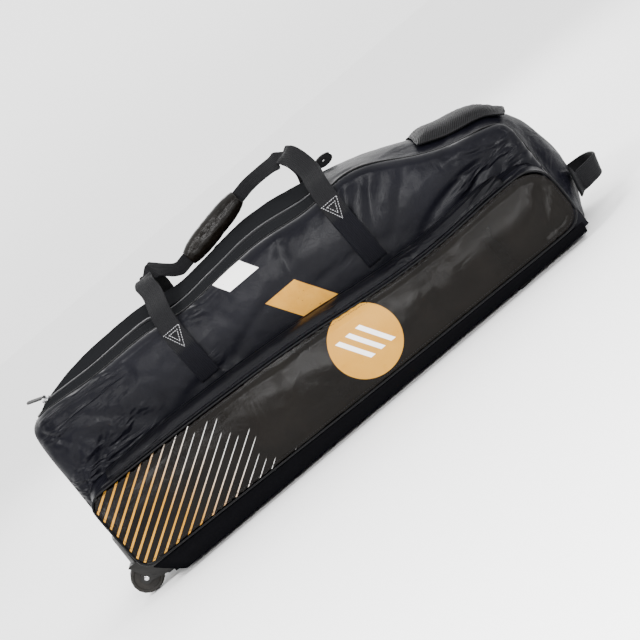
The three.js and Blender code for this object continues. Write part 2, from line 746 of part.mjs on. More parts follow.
function guardGeometry() {
  const inner = guardInner;
  const knee = guardOut + guardSlope;
  const floorTop = guardBottom + guardWall;
  const shoulder = guardOut + guardWall;
  const skin = [
    [guardOut, guardShoulder], [knee, guardBottom], [inner, guardBottom], [inner, floorTop],
    [knee + 2, floorTop], [shoulder, guardShoulder + 2],
  ];
  const block = [
    [guardOut, guardShoulder], [knee, guardBottom], [inner, guardBottom], [inner, guardShoulder - 4],
    [shoulder, guardShoulder + 2],
  ];
  const wellRadius = wheelRadius + wheelGap;
  const wellWidth = wheelWidth + wheelGap;
  const filled = solidOf(acrossBag(block, 2 * guardHalf));
  const boss = 2.4 * axleRadius;
  const arm = [
    [wheelX - 2, wheelZ + boss], [wheelX - 4, wheelZ - axleRadius], [wheelX + 6, wheelZ - 2 * axleRadius],
    [knee + 2, guardBottom + 1], [knee + 4, guardBottom + 8], [guardOut + 4, guardShoulder + 1],
    [guardOut + 2, guardShoulder - 2],
  ];
  let solid = solidOf(acrossBag(skin, 2 * guardHalf)).add(solidOf(sheet(flangeGrid, guardWall,
    towardsMiddle)));
  for (const side of [-1, 1]) {
    const y = side * wheelSpacing / 2;
    const end = side * (guardHalf - guardWall / 2);
    const housing = barrel(wheelX, y, wheelZ, wellRadius + guardWall, wellWidth + 2 * guardWall);
    solid = solid.add(filled.intersect(solidOf(housing))).add(solidOf(acrossBag(block, guardWall, end)));
    for (const cheek of [-1, 1]) {
      const at = y + (cheek * (wellWidth + guardWall)) / 2;
      solid = solid.add(solidOf(barrel(wheelX, at, wheelZ, boss, guardWall,
        12))).add(solidOf(acrossBag(arm, guardWall, at)));
    }
  }
  for (const side of [-1, 1]) {
    const y = side * wheelSpacing / 2;
    solid = solid.subtract(solidOf(barrel(wheelX, y, wheelZ, wellRadius, wellWidth)));
    solid = solid.subtract(solidOf(barrel(wheelX, y, wheelZ, axleRadius + runningGap,
      wellWidth + 3 * guardWall, 16)));
  }
  return geometryOf(solid);
}
add('wheel_base', guardGeometry(), 'plastic');

// Wheels: a tyre and hub in one, turning on a steel axle
const wheelProfile = [
  [axleRadius + runningGap, 0.5], [2.2 * axleRadius, 0.5], [2.4 * axleRadius,
    0.36], [0.72 * wheelRadius, 0.34],
  [0.78 * wheelRadius, 0.44], [0.93 * wheelRadius, 0.42], [wheelRadius, 0.22],
];
function wheelGeometry() {
  const half = wheelProfile.map(([radius, share]) => new THREE.Vector2(radius, share * wheelWidth));
  const mirror = half.slice(0, -1).reverse().map((p) => new THREE.Vector2(p.x, -p.y));
  return new THREE.LatheGeometry([...half, ...mirror, half[0].clone()].reverse(), 16);
}
const axleLength = wheelWidth + wheelGap + 2 * guardWall;
for (const [name, side] of [['front', -1], ['back', 1]]) {
  const y = side * wheelSpacing / 2;
  const wheel = add('wheel_' + name, wheelGeometry(), 'rubber');
  wheel.position.set(wheelX, y, wheelZ);
  const axle = add('axle_' + name, new THREE.CylinderGeometry(axleRadius, axleRadius, axleLength, 16),
    'steel');
  axle.position.set(wheelX, y, wheelZ);
}

// Feet under the base at the nose end
const footHeight = baseLift - clearance;
for (const [name, side] of [['foot_front', -1], ['foot_back', 1]]) {
  const foot = add(name, new THREE.CylinderGeometry(footRadius, footRadius - footTaper, footHeight, 20), 'plastic');
  foot.rotation.x = Math.PI / 2;
  foot.position.set(footPlace, side * footSpacing / 2 - footShift, footHeight / 2);
}

// Ribbed pocket on the slope
const shareAtX = (x) => nosePath.findIndex((p) => p.x >= x) / (nosePath.length - 1);
const endPocketFrom = shareAtX(endPocketStart);
const endPocketTo = shareAtX(endPocketEnd);
const endPocketHalf = 0.74;
const endPocketRise = 13;
function endPocketPoint(u, v) {
  const arch = Math.sqrt(clamp01(Math.min(u * 6, (1 - u) * 3, (1 - Math.abs(v)) * 3)));
  const lift = wall + 2 * clearance + endPocketRise * arch;
  return nosePoint(mix(endPocketFrom, endPocketTo, u), v * endPocketHalf, lift);
}
const endPocketGrid = span(8).map((u) => span(8, -1, 1).map((v) => endPocketPoint(u, v)));
add('end_pocket', sheet(endPocketGrid, wall, towardsMiddle), 'mesh');

// Webbing: a flat band carried along a table of places and directions of its width
function band(rows, steps, thickness = webbingWall) {
  const curve = new THREE.CatmullRomCurve3(rows.map((row) => row.at), false, 'centripetal');
  const widths = new THREE.CatmullRomCurve3(rows.map((row) => row.wide), false, 'centripetal');
  const frames = span(steps).map((share) => {
    const tangent = curve.getTangent(share);
    const wide = widths.getPoint(share);
    const size = wide.length();
    wide.addScaledVector(tangent, -wide.dot(tangent)).setLength(size);
    const out = new THREE.Vector3().crossVectors(tangent, wide).normalize();
    return { at: curve.getPoint(share), across: wide.clone().normalize(), out, scale: size };
  });
  const half = thickness / 2;
  return sweep([[-0.5, -half], [0.5, -half], [0.5, half], [-0.5, half]], frames);
}

const strapTopZ = baseLift + bodyHeight + strapRise;
const gripZ = strapTopZ - 15;
const legX = [strapOffset - strapSpacing / 2, strapOffset + strapSpacing / 2];
const gripMiddle = strapOffset - 12;
function strapRows(side) {
  const wide = (x, y, z, size = webbingWidth) => point(x, y, z).setLength(size);
  const skin = (x, z, off) => {
    const way = wayAt(x);
    const p = wallPoint(side * way, z);
    return point(p.x, p.y - side * off, p.z);
  };
  const off = webbingWall / 2 + clearance + 1;
  const [left, right] = legX;
  const low = side > 0 ? (x) => pocketTopAt(x) + flapHeight + 8 : () => baseLift + 60;
  const gripGap = side * (webbingWall / 2 + 2 * clearance);
  const narrow = 24;
  const leg = (x, turn) => [
    { at: skin(x, low(x), off), wide: wide(1, 0, 0) },
    { at: skin(x, mix(low(x), topAt(x), 0.4), off), wide: wide(1, 0, 0) },
    { at: skin(x, mix(low(x), topAt(x), 0.8), off), wide: wide(1, 0, 0) },
    { at: point(x + 3 * turn, -side * (halfDepth - 4), topAt(x) + 14), wide: wide(1, 0, 0) },
    { at: point(x + 9 * turn, -side * 92, topAt(x) + 48), wide: wide(1, side * 0.15 * turn, 0.1 * turn) },
  ];
  const over = [
    { at: point(left + 8, -side * 58, strapTopZ - 6), wide: wide(0.9, -side * 0.4, -0.2) },
    { at: point(left + 28, -side * 26, strapTopZ - 4), wide: wide(0.3, side * 0.75, 0.55, 30) },
    { at: point(gripMiddle - gripLength / 2 - 20, -gripGap * 2.4, gripZ - gripTilt / 2 - 2),
      wide: wide(0, 0, 1, narrow) },
    { at: point(gripMiddle - gripLength / 2, -gripGap, gripZ - gripTilt / 2), wide: wide(0, 0, 1, narrow) },
    { at: point(gripMiddle, -gripGap, gripZ), wide: wide(0, 0, 1, narrow) },
    { at: point(gripMiddle + gripLength / 2, -gripGap, gripZ + gripTilt / 2), wide: wide(0, 0, 1, narrow) },
    { at: point(gripMiddle + gripLength / 2 + 24, -gripGap * 2.4, gripZ + gripTilt / 2 + 4),
      wide: wide(0, 0, 1, narrow) },
    { at: point(right - 26, -side * 26, strapTopZ + 2), wide: wide(-0.3, side * 0.75, 0.55, 30) },
    { at: point(right - 2, -side * 58, strapTopZ - 2), wide: wide(-0.9, side * 0.2, -0.3) },
  ];
  const rightLeg = leg(right, 1).reverse().map((row) => ({ at: row.at, wide: row.wide.negate() }));
  return [...leg(left, 1), ...over, ...rightLeg];
}
add('carry_strap_front', band(strapRows(1), 56), 'webbing');
add('carry_strap_back', band(strapRows(-1), 56), 'webbing');

// Grip: a padded sleeve round both bands
function gripGeometry() {
  const tilt = Math.atan2(gripTilt, gripLength);
  const length = gripLength - 8;
  const rings = span(8, -0.5, 0.5).map((share) => ({
    at: point(0, 0, share * length),
    across: point(1, 0, 0).multiplyScalar(1 - 0.1 * Math.abs(2 * share) ** 3),
    out: point(0, 1, 0),
  }));
  const oval = round(1, 12).map(([u, v]) => [u * gripHeight / 2, v * gripDepth / 2]);
  const sleeve = solidOf(sweep(oval, rings));
  const slot = new THREE.BoxGeometry(24 + 2, 2 * webbingWall + 7 * clearance, gripLength + 10);
  const hollow = geometryOf(sleeve.subtract(solidOf(slot)));
  hollow.rotateY(Math.PI / 2 - tilt);
  hollow.translate(gripMiddle, 0, gripZ);
  return hollow;
}
add('grip_wrap', gripGeometry(), 'coated');

// Grab handle: a band standing out from the nose
function grabRows() {
  const shareAt = (z) => 1 - (z - nosePath.at(-1).z) / noseLength;
  const nose = (y, lift, z = grabHeight) => nosePoint(shareAt(z), y / (topHalf - pipingGap), lift);
  const reach = webbingWidth / 2;
  const wide = nose(grabSpan / 2, 0, grabHeight + reach).sub(nose(grabSpan / 2, 0, grabHeight - reach))
    .setLength(webbingWidth);
  const lift = webbingWall + 3;
  const half = grabSpan / 2;
  const out = nose(0, 0).x + grabReach - 12;
  const place = (y, x) => ({ at: point(x, y, grabHeight), wide: wide.clone() });
  const side = (s) => [
    place(s * (half + 26), nose(half + 26, lift).x),
    place(s * (half + 12), nose(half + 12, lift).x),
    place(s * half, nose(half, lift + 1).x),
    place(s * (half - 8), mix(nose(half, 0).x, out, 0.45)),
    place(s * (half - 22), mix(nose(half, 0).x, out, 0.86)),
    place(s * 20, out),
  ];
  return [...side(-1), ...side(1).reverse()];
}
add('grab_handle', band(grabRows(), 28, 4), 'webbing');

// Rolled strap end on the top, behind the strap's right leg
function rollGeometry() {
  const oval = round(1, 14).map(([u, v]) => [u * 1.75 * rollRadius, v * rollRadius]);
  const x = legX[1] + 42;
  const y = 36;
  const z = crownPoint(x, y).z + rollRadius + wall;
  const frames = span(6, -0.5, 0.5).map((share) => ({
    at: point(x, y + share * rollWidth, z),
    across: point(1, 0, 0).multiplyScalar(1 - 0.12 * Math.abs(2 * share) ** 3),
    out: point(0, 0, 1).multiplyScalar(1 - 0.12 * Math.abs(2 * share) ** 3),
  }));
  return sweep(oval, frames);
}
add('strap_roll', rollGeometry(), 'webbing');

// Zip slider at the front corner of the wheel end, and the pull tab that swings on its pin
const slider = { length: 13, width: 9, height: 3.2, lug: 1.6, pinRadius: 1.1, pinHeight: 6.4 };
const sliderTurn = THREE.MathUtils.degToRad(30);
function sliderGeometry() {
  const { length, width, height, lug, pinRadius, pinHeight } = slider;
  let solid = solidOf(new THREE.BoxGeometry(length, width, height).translate(0, 0, height / 2));
  for (const side of [-1, 1]) {
    const ear = new THREE.BoxGeometry(3 * pinRadius, lug, pinHeight + pinRadius);
    solid = solid.add(solidOf(ear.translate(0, side * (width - lug) / 2,
      (pinHeight + pinRadius) / 2 + 0.2)));
  }
  return geometryOf(solid.add(solidOf(barrel(0, 0, pinHeight, pinRadius, width - lug, 10))));
}
function pullGeometry() {
  const { width, lug, pinRadius, pinHeight } = slider;
  const neck = width - 2 * lug - 2 * runningGap;
  const eye = pinRadius + runningGap + 1.2;
  const shoulder = 3 * pinRadius;
  const tab = new THREE.Shape([[0, -neck / 2], [shoulder, -neck / 2], [shoulder + 2, -pullWidth / 2],
    [pullLength - 2, -pullWidth / 2], [pullLength, -pullWidth / 2 + 2], [pullLength, pullWidth / 2 - 2],
    [pullLength - 2, pullWidth / 2], [shoulder + 2, pullWidth / 2], [shoulder, neck / 2], [0, neck / 2],
  ].map(([x, y]) => new THREE.Vector2(x, y)));
  const plate = new THREE.ExtrudeGeometry(tab, { depth: pullThickness, bevelEnabled: false });
  plate.translate(0, 0, -pullThickness / 2);
  let solid = solidOf(plate).add(solidOf(barrel(0, 0, 0, eye, neck, 12)));
  solid = solid.subtract(solidOf(barrel(0, 0, 0, pinRadius + runningGap, 2 * neck, 12)));
  return geometryOf(solid);
}
const sliderPlace = new THREE.Group();
const zipMiddle = borderWidth + zipWidth / 2;
const sliderX = leftX + endEdgeRadius + endBorderWidth + zipWidth / 2
  + lidCorner * (1 - Math.sin(sliderTurn));
const sliderY = -(halfDepth - edgeRadius - zipMiddle) + lidCorner * (1 - Math.cos(sliderTurn));
const sliderAt = crownPoint(sliderX, sliderY);
const sliderUp = crownPoint(sliderX + 1, sliderY).sub(sliderAt)
  .cross(crownPoint(sliderX, sliderY + 1).sub(sliderAt)).normalize();
const sliderWay = point(-Math.cos(sliderTurn), Math.sin(sliderTurn), 0);
const sliderPin = sliderUp.clone().cross(sliderWay).normalize();
sliderPlace.matrixAutoUpdate = false;
sliderPlace.matrix.makeBasis(sliderPin.clone().cross(sliderUp), sliderPin, sliderUp)
  .setPosition(sliderAt.clone().addScaledVector(sliderUp, 2 * clearance));
bag.add(sliderPlace);
const sliderMesh = add('zip_slider', sliderGeometry(), 'steel');
const pullMesh = add('zip_pull', pullGeometry(), 'steel');
pullMesh.position.set(0, 0, slider.pinHeight);
pullMesh.rotation.y = -THREE.MathUtils.degToRad(pullLift);
sliderPlace.add(sliderMesh, pullMesh);

// Stand the part on its origin: the middle of its box, at its lowest point
const box = new THREE.Box3().setFromObject(bag);
bag.position.set(-(box.min.x + box.max.x) / 2, -(box.min.y + box.max.y) / 2, -box.min.z);

export default bag;
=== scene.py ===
import math

import bmesh
import bpy
import numpy as np
from mathutils import Matrix, Vector, noise
from mathutils.bvhtree import BVHTree
from mathutils.kdtree import KDTree


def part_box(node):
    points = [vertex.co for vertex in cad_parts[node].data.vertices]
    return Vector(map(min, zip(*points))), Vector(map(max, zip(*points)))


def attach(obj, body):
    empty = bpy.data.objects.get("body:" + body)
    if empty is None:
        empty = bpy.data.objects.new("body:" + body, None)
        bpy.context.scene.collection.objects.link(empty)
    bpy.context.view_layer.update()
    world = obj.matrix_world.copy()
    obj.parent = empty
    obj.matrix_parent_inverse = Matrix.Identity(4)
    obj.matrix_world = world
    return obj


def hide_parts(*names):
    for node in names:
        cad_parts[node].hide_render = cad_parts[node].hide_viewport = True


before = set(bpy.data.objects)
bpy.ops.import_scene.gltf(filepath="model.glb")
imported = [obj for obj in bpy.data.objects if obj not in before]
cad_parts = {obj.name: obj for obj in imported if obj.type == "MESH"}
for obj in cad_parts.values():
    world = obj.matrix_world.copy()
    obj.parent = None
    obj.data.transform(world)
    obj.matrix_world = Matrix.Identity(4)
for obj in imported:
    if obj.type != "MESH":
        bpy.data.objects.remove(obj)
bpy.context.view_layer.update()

# Camera and stage, in metres and degrees
CAMERA_AT = (0.077, -2.496, 0.463)
CAMERA_TARGET = (-0.010, -0.0045, 0.157)
CAMERA_ROLL = 40.47
CAMERA_LENS = 84.4
FLOOR_HALF = 60.0
WORLD = {"dark": 0.80, "bright": 2.8, "back": 0.8, "low": 0.0, "high": 0.62, "rim": 0.85, "rise": 0.14}
LIGHTS = [
    {"name": "key", "at": (-1.3, -1.7, 2.3), "size": 0.50, "power": 75},
    {"name": "side", "at": (2.2, -1.2, 1.5), "size": 0.35, "power": 22},
    {"name": "left", "at": (-0.62, -2.3, 0.80), "size": 0.30, "power": 22},
    {"name": "strip", "at": (0.34, -2.1, 0.70), "size": 0.36, "power": 38},
    {"name": "back", "at": (0.3, 2.2, 2.0), "size": 1.80, "power": 70},
]
LIGHTS_AIM = (0, 0, 0.15)

# Sizes of the cloth work
SHARP = math.radians(50)
MIDDLE_Y = 0.0245
SEAM_INSET = 0.0042
STITCH = {"length": 0.0032, "width": 0.0008, "gap": 0.0016}
TRIANGLE_STITCH = {"length": 0.0030, "width": 0.0010, "gap": 0.0010}
TOOTH = {"length": 0.0030, "width": 0.0011, "pitch": 0.0021, "height": 0.0011}
FADE = 0.022
SOFT = 0.7
RIB = 0.0040
RIB_DEPTH = 0.0012
GRIP_FILL = 0.0066
STITCH_REACH = 0.012
STITCH_LIFT = 0.45
PRINT_EDGE = 0.0003
TAPE = {"fine": 3, "thickness": 0.0014, "columns": 5, "edge": 0.08}
COIL_LIFT = 0.0006
STRAP = {"fine": 4, "thickness": 0.0022, "columns": 11, "edge": 0.04}
STRAP_ROWS = {"share": 0.86, "height": 0.0010}
HANDLE = {"fine": 4, "thickness": 0.0040, "columns": 11, "edge": 0.10}
HANDLE_ROWS = {"share": 0.84, "height": 0.0019}
# Stitched triangles: width as a share of the strap, height, the tops of both legs; each row's scale and drop
TRIANGLE = {"wide": 0.84, "tall": 0.033, "left_top": 0.3130, "right_top": 0.3060, "right_shift": 0.009}
TRIANGLE_ROWS = ((1.0, 0.0), (0.52, 0.15))
TRIANGLE_STEPS = 8
PROBE_FROM = 0.4
# Rolled strap end: a spiral that starts at an angle and shrinks by a share of its radius
ROLL = {"turns": 4.0, "steps": 120, "start": 0.6, "shrink": 0.78, "wide": 0.96}
ROLL_BAND = {"fine": 1, "thickness": 0.0034, "columns": 9, "edge": 0.05}

# Colours
SATIN = (0.0034, 0.0034, 0.0052)
WOVEN = (0.0085, 0.0088, 0.0096)
COATED = (0.0034, 0.0027, 0.0021)
BINDING = (0.0022, 0.0022, 0.0026)
WEBBING = (0.0072, 0.0072, 0.0080)
RIBBED = (0.0040, 0.0040, 0.0044)
PLASTIC = (0.0036, 0.0032, 0.0029)
RUBBER = (0.0075, 0.0064, 0.0054)
THREAD = (0.36, 0.36, 0.37)
GOLD = (0.36, 0.158, 0.012)
PALE_GOLD = (0.46, 0.235, 0.036)
WHITE = (0.86, 0.85, 0.83)

# Printed band of the front wall: its middle at one height, its slant and the two printed stretches
BAND = {"x": -0.064, "z": 0.312, "slant": 0.60, "half": 0.0300,
        "white": (0.2985, 0.3265), "gold": (0.150, 0.2478)}
# Printed disc and stripes of the pocket's face
DISC = {"x": 0.0285, "z": 0.1062, "radius": 0.0602,
        "bars": 3, "bar": 0.0090, "pitch": 0.0205, "reach": 0.026}
STRIPES = {"turn": 32, "pitch": 0.0133, "from": -0.475, "to": -0.245, "lead": 0.06, "ragged": 0.055,
           "slope": 0.55, "wide": 0.0038, "thin": 0.0007}
SCATTER = (12.9898, 43.7)

# Soft creases of the walls, as shares of each wall's box: place, turn, half length, spread and depth
FRONT_CREASES = [
    {"along": 0.050, "up": 0.86, "turn": -52, "reach": 0.055, "spread": 0.0070, "depth": 0.0042},
    {"along": 0.085, "up": 0.80, "turn": -48, "reach": 0.050, "spread": 0.0080, "depth": 0.0036},
    {"along": 0.125, "up": 0.84, "turn": -36, "reach": 0.060, "spread": 0.0090, "depth": 0.0034},
    {"along": 0.040, "up": 0.66, "turn": 62, "reach": 0.045, "spread": 0.0065, "depth": 0.0044},
    {"along": 0.065, "up": 0.60, "turn": 55, "reach": 0.050, "spread": 0.0070, "depth": 0.0040},
    {"along": 0.095, "up": 0.68, "turn": 48, "reach": 0.040, "spread": 0.0075, "depth": 0.0028},
    {"along": 0.190, "up": 0.90, "turn": -25, "reach": 0.060, "spread": 0.0100, "depth": 0.0026},
    {"along": 0.250, "up": 0.72, "turn": 60, "reach": 0.060, "spread": 0.0110, "depth": 0.0024},
    {"along": 0.400, "up": 0.84, "turn": -60, "reach": 0.050, "spread": 0.0100, "depth": 0.0024},
    {"along": 0.470, "up": 0.70, "turn": 12, "reach": 0.090, "spread": 0.0100, "depth": 0.0022},
    {"along": 0.560, "up": 0.86, "turn": 68, "reach": 0.045, "spread": 0.0100, "depth": 0.0024},
    {"along": 0.700, "up": 0.84, "turn": 58, "reach": 0.055, "spread": 0.0085, "depth": 0.0040},
    {"along": 0.740, "up": 0.80, "turn": 50, "reach": 0.060, "spread": 0.0090, "depth": 0.0036},
    {"along": 0.775, "up": 0.70, "turn": 42, "reach": 0.050, "spread": 0.0100, "depth": 0.0026},
    {"along": 0.860, "up": 0.56, "turn": 8, "reach": 0.080, "spread": 0.0070, "depth": 0.0040},
    {"along": 0.905, "up": 0.52, "turn": 16, "reach": 0.060, "spread": 0.0070, "depth": 0.0036},
    {"along": 0.940, "up": 0.60, "turn": -28, "reach": 0.040, "spread": 0.0070, "depth": 0.0026},
    {"along": 0.650, "up": 0.62, "turn": -8, "reach": 0.080, "spread": 0.0100, "depth": 0.0022},
    {"along": 0.300, "up": 0.62, "turn": 6, "reach": 0.080, "spread": 0.0090, "depth": 0.0022},
]
BACK_CREASES = [
    {"along": 0.060, "up": 0.82, "turn": -48, "reach": 0.060, "spread": 0.0085, "depth": 0.0040},
    {"along": 0.075, "up": 0.40, "turn": 58, "reach": 0.070, "spread": 0.0090, "depth": 0.0040},
    {"along": 0.200, "up": 0.62, "turn": -30, "reach": 0.090, "spread": 0.0110, "depth": 0.0032},
    {"along": 0.330, "up": 0.36, "turn": 22, "reach": 0.110, "spread": 0.0120, "depth": 0.0034},
    {"along": 0.520, "up": 0.55, "turn": -14, "reach": 0.120, "spread": 0.0120, "depth": 0.0034},
    {"along": 0.690, "up": 0.38, "turn": 35, "reach": 0.090, "spread": 0.0110, "depth": 0.0034},
    {"along": 0.780, "up": 0.66, "turn": 48, "reach": 0.060, "spread": 0.0095, "depth": 0.0034},
    {"along": 0.900, "up": 0.42, "turn": -40, "reach": 0.070, "spread": 0.0095, "depth": 0.0040},
]
FACE_CREASES = [
    {"along": 0.720, "up": 0.99, "turn": -2, "reach": 0.170, "spread": 0.0400, "depth": 0.0120},
    {"along": 0.100, "up": 0.99, "turn": 2, "reach": 0.080, "spread": 0.0300, "depth": 0.0070},
    {"along": 0.770, "up": 0.90, "turn": -3, "reach": 0.150, "spread": 0.0120, "depth": 0.0050},
    {"along": 0.680, "up": 0.82, "turn": -14, "reach": 0.080, "spread": 0.0100, "depth": 0.0038},
    {"along": 0.880, "up": 0.80, "turn": 12, "reach": 0.080, "spread": 0.0100, "depth": 0.0026},
    {"along": 0.150, "up": 0.90, "turn": 4, "reach": 0.090, "spread": 0.0090, "depth": 0.0022},
    {"along": 0.330, "up": 0.86, "turn": -6, "reach": 0.110, "spread": 0.0100, "depth": 0.0020},
    {"along": 0.955, "up": 0.30, "turn": 62, "reach": 0.045, "spread": 0.0090, "depth": 0.0024},
]
NOSE_CREASES = [
    {"along": 0.62, "up": 0.62, "turn": 50, "reach": 0.050, "spread": 0.0100, "depth": 0.0030},
    {"along": 0.88, "up": 0.42, "turn": 80, "reach": 0.080, "spread": 0.0120, "depth": 0.0030},
]


# Node materials
class Tree:
    """Short calls for building a material's nodes"""

    def __init__(self, name):
        self.material = bpy.data.materials.new(name)
        self.material.use_nodes = True
        self.nodes = self.material.node_tree.nodes
        self.links = self.material.node_tree.links
        self.nodes.clear()
        self.shader = self.nodes.new("ShaderNodeBsdfPrincipled")
        output = self.nodes.new("ShaderNodeOutputMaterial")
        self.links.new(self.shader.outputs["BSDF"], output.inputs["Surface"])

    def give(self, socket, value):
        if isinstance(value, bpy.types.NodeSocket):
            self.links.new(value, socket)
        elif value is not None:
            socket.default_value = value

    def math(self, operation, first, second=None, third=None):
        node = self.nodes.new("ShaderNodeMath")
        node.operation = operation
        for socket, value in zip(node.inputs, (first, second, third)):
            self.give(socket, value)
        return node.outputs[0]

    def mix(self, share, first, second):
        node = self.nodes.new("ShaderNodeMix")
        node.data_type = "RGBA"
        self.give(node.inputs["Factor"], share)
        self.give(node.inputs[6], first)
        self.give(node.inputs[7], second)
        return node.outputs[2]

    def ramp(self, value, low, high):
        node = self.nodes.new("ShaderNodeMapRange")
        node.interpolation_type = "SMOOTHSTEP"
        for socket, given in zip(node.inputs, (value, low, high)):
            self.give(socket, given)
        return node.outputs[0]

    def place(self):
        node = self.nodes.new("ShaderNodeTexCoord")
        split = self.nodes.new("ShaderNodeSeparateXYZ")
        self.links.new(node.outputs["Object"], split.inputs[0])
        return split.outputs[0], split.outputs[1], split.outputs[2], node.outputs["Object"]

    def uv(self):
        node = self.nodes.new("ShaderNodeUVMap")
        node.uv_map = "UVMap"
        split = self.nodes.new("ShaderNodeSeparateXYZ")
        self.links.new(node.outputs["UV"], split.inputs[0])
        return split.outputs[0], split.outputs[1]

    def noise(self, where, scale, detail=3.0, rough=0.55, distortion=0.0):
        node = self.nodes.new("ShaderNodeTexNoise")
        self.give(node.inputs["Vector"], where)
        node.inputs["Scale"].default_value = scale
        node.inputs["Detail"].default_value = detail
        node.inputs["Roughness"].default_value = rough
        node.inputs["Distortion"].default_value = distortion
        return node.outputs["Fac"]

    def drawn(self, where, scale, turn):
        """The place stretched and turned, so that a pattern runs in long slanted folds"""
        node = self.nodes.new("ShaderNodeMapping")
        self.links.new(where, node.inputs["Vector"])
        node.inputs["Scale"].default_value = scale
        node.inputs["Rotation"].default_value = turn
        return node.outputs[0]

    def wave(self, value, pitch):
        return self.math("SINE", self.math("MULTIPLY", value, 2 * math.pi / pitch))

    def bump(self, height, strength, distance, under=None):
        node = self.nodes.new("ShaderNodeBump")
        node.inputs["Strength"].default_value = strength
        node.inputs["Distance"].default_value = distance
        self.give(node.inputs["Height"], height)
        if under is not None:
            self.links.new(under, node.inputs["Normal"])
        return node.outputs["Normal"]

    def finish(self, colour, roughness, normal=None, **fixed):
        self.give(self.shader.inputs["Base Color"], colour)
        self.give(self.shader.inputs["Roughness"], roughness)
        if normal is not None:
            self.links.new(normal, self.shader.inputs["Normal"])
        for name, value in fixed.items():
            self.shader.inputs[name.replace("_", " ")].default_value = value
        return self.material


def rgb(colour, factor=1.0):
    return (colour[0] * factor, colour[1] * factor, colour[2] * factor, 1.0)


def across(tree, plane):
    """The two coordinates that lie in a wall's plane"""
    x, y, z, where = tree.place()
    if plane == "top":
        return x, y, where
    if plane == "end":
        return y, z, where
    if plane == "nose":
        return y, tree.math("SUBTRACT", x, z), where
    return x, z, where


def satin(name, plane, colour=SATIN, prints=None, gloss=0.080):
    """Satin polyester: fine twill, small crinkles and a soft sheen"""
    tree = Tree(name)
    u, v, where = across(tree, plane)
    twill = tree.wave(tree.math("ADD", u, v), 0.0016)
    crinkle = tree.noise(where, 34, 5, 0.6, 0.6)
    cloud = tree.noise(where, 7, 3)
    normal = tree.bump(crinkle, 0.35, 0.0030)
    slanted = tree.drawn(where, (0.42, 0.8, 1.3), (0.0, 0.6, 0.0))
    line = tree.math("ABSOLUTE", tree.math("SUBTRACT", tree.noise(slanted, 12, 3, 0.55, 0.7), 0.5))
    patch = tree.ramp(tree.noise(where, 5, 1), 0.46, 0.62)
    fold = tree.math("MULTIPLY", tree.ramp(line, 0.09, 0.0), patch)
    normal = tree.bump(fold, 0.75, 0.0050, normal)
    normal = tree.bump(twill, 0.20, 0.00012, normal)
    base = tree.mix(tree.ramp(cloud, 0.35, 0.7), rgb(colour, 0.85), rgb(colour, 1.22))
    rough = tree.ramp(cloud, 0.2, 0.8)
    rough = tree.math("MULTIPLY_ADD", rough, 0.10, 0.27)
    if prints:
        base, rough = prints(tree, base, rough)
    return tree.finish(base, rough, normal, Specular_IOR_Level=gloss)


def band_print(tree, base, rough):
    """The slanted white and gold band printed on the front wall"""
    x, _, z, where = tree.place()
    middle = tree.math("MULTIPLY_ADD", tree.math("SUBTRACT", BAND["z"], z), BAND["slant"], BAND["x"])
    off = tree.math("ABSOLUTE", tree.math("SUBTRACT", x, middle))
    inside = tree.ramp(off, BAND["half"] + PRINT_EDGE, BAND["half"] - PRINT_EDGE)
    worn = tree.ramp(tree.noise(where, 260, 2), 0.22, 0.34)

    def between(low, high):
        over = tree.ramp(z, low - PRINT_EDGE, low + PRINT_EDGE)
        under = tree.ramp(z, high + PRINT_EDGE, high - PRINT_EDGE)
        stretch = tree.math("MULTIPLY", over, under)
        return tree.math("MULTIPLY", stretch, tree.math("MULTIPLY", inside, worn))

    white = between(*BAND["white"])
    gold = between(*BAND["gold"])
    base = tree.mix(white, base, rgb(WHITE))
    gilt = tree.mix(tree.noise(where, 60, 2), rgb(GOLD), rgb(PALE_GOLD))
    base = tree.mix(gold, base, gilt)
    either = tree.math("ADD", white, gold)
    return base, tree.math("MULTIPLY_ADD", either, -0.06, rough)


def woven(name, plane, colour=WOVEN, pitch=0.0022):
    """Coarse plain weave, matt"""
    tree = Tree(name)
    u, v, where = across(tree, plane)
    warp = tree.wave(u, pitch)
    weft = tree.wave(v, pitch)
    height = tree.math("MULTIPLY", warp, weft)
    dents = tree.noise(where, 24, 4)
    normal = tree.bump(dents, 0.5, 0.003)
    normal = tree.bump(height, 0.35, 0.0006, normal)
    fleck = tree.noise(where, 420, 2)
    share = tree.math("MULTIPLY_ADD", height, 0.18, tree.math("MULTIPLY_ADD", fleck, 0.5, 0.25))
    base = tree.mix(share, rgb(colour, 0.62), rgb(colour, 1.4))
    return tree.finish(base, 0.80, normal, Specular_IOR_Level=0.0)


def coated(name, prints=None, gloss=0.085):
    """Coated cloth with a fine basket grain under a worn gloss"""
    tree = Tree(name)
    x, _, z, where = tree.place()
    pitch = 0.0028
    rising = tree.wave(tree.math("ADD", x, z), pitch)
    falling = tree.wave(tree.math("SUBTRACT", x, z), pitch)
    cell = tree.math("MULTIPLY", rising, falling)
    dents = tree.noise(where, 12, 4, 0.5, 0.4)
    scuff = tree.noise(where, 90, 4)
    normal = tree.bump(dents, 0.5, 0.006)
    normal = tree.bump(cell, 0.30, 0.00022, normal)
    base = tree.mix(tree.ramp(dents, 0.3, 0.7), rgb(COATED, 0.8), rgb(COATED, 1.3))
    rough = tree.math("MULTIPLY_ADD", scuff, 0.10, 0.135)
    if prints:
        base, rough = prints(tree, base, rough)
    return tree.finish(base, rough, normal, Specular_IOR_Level=gloss)


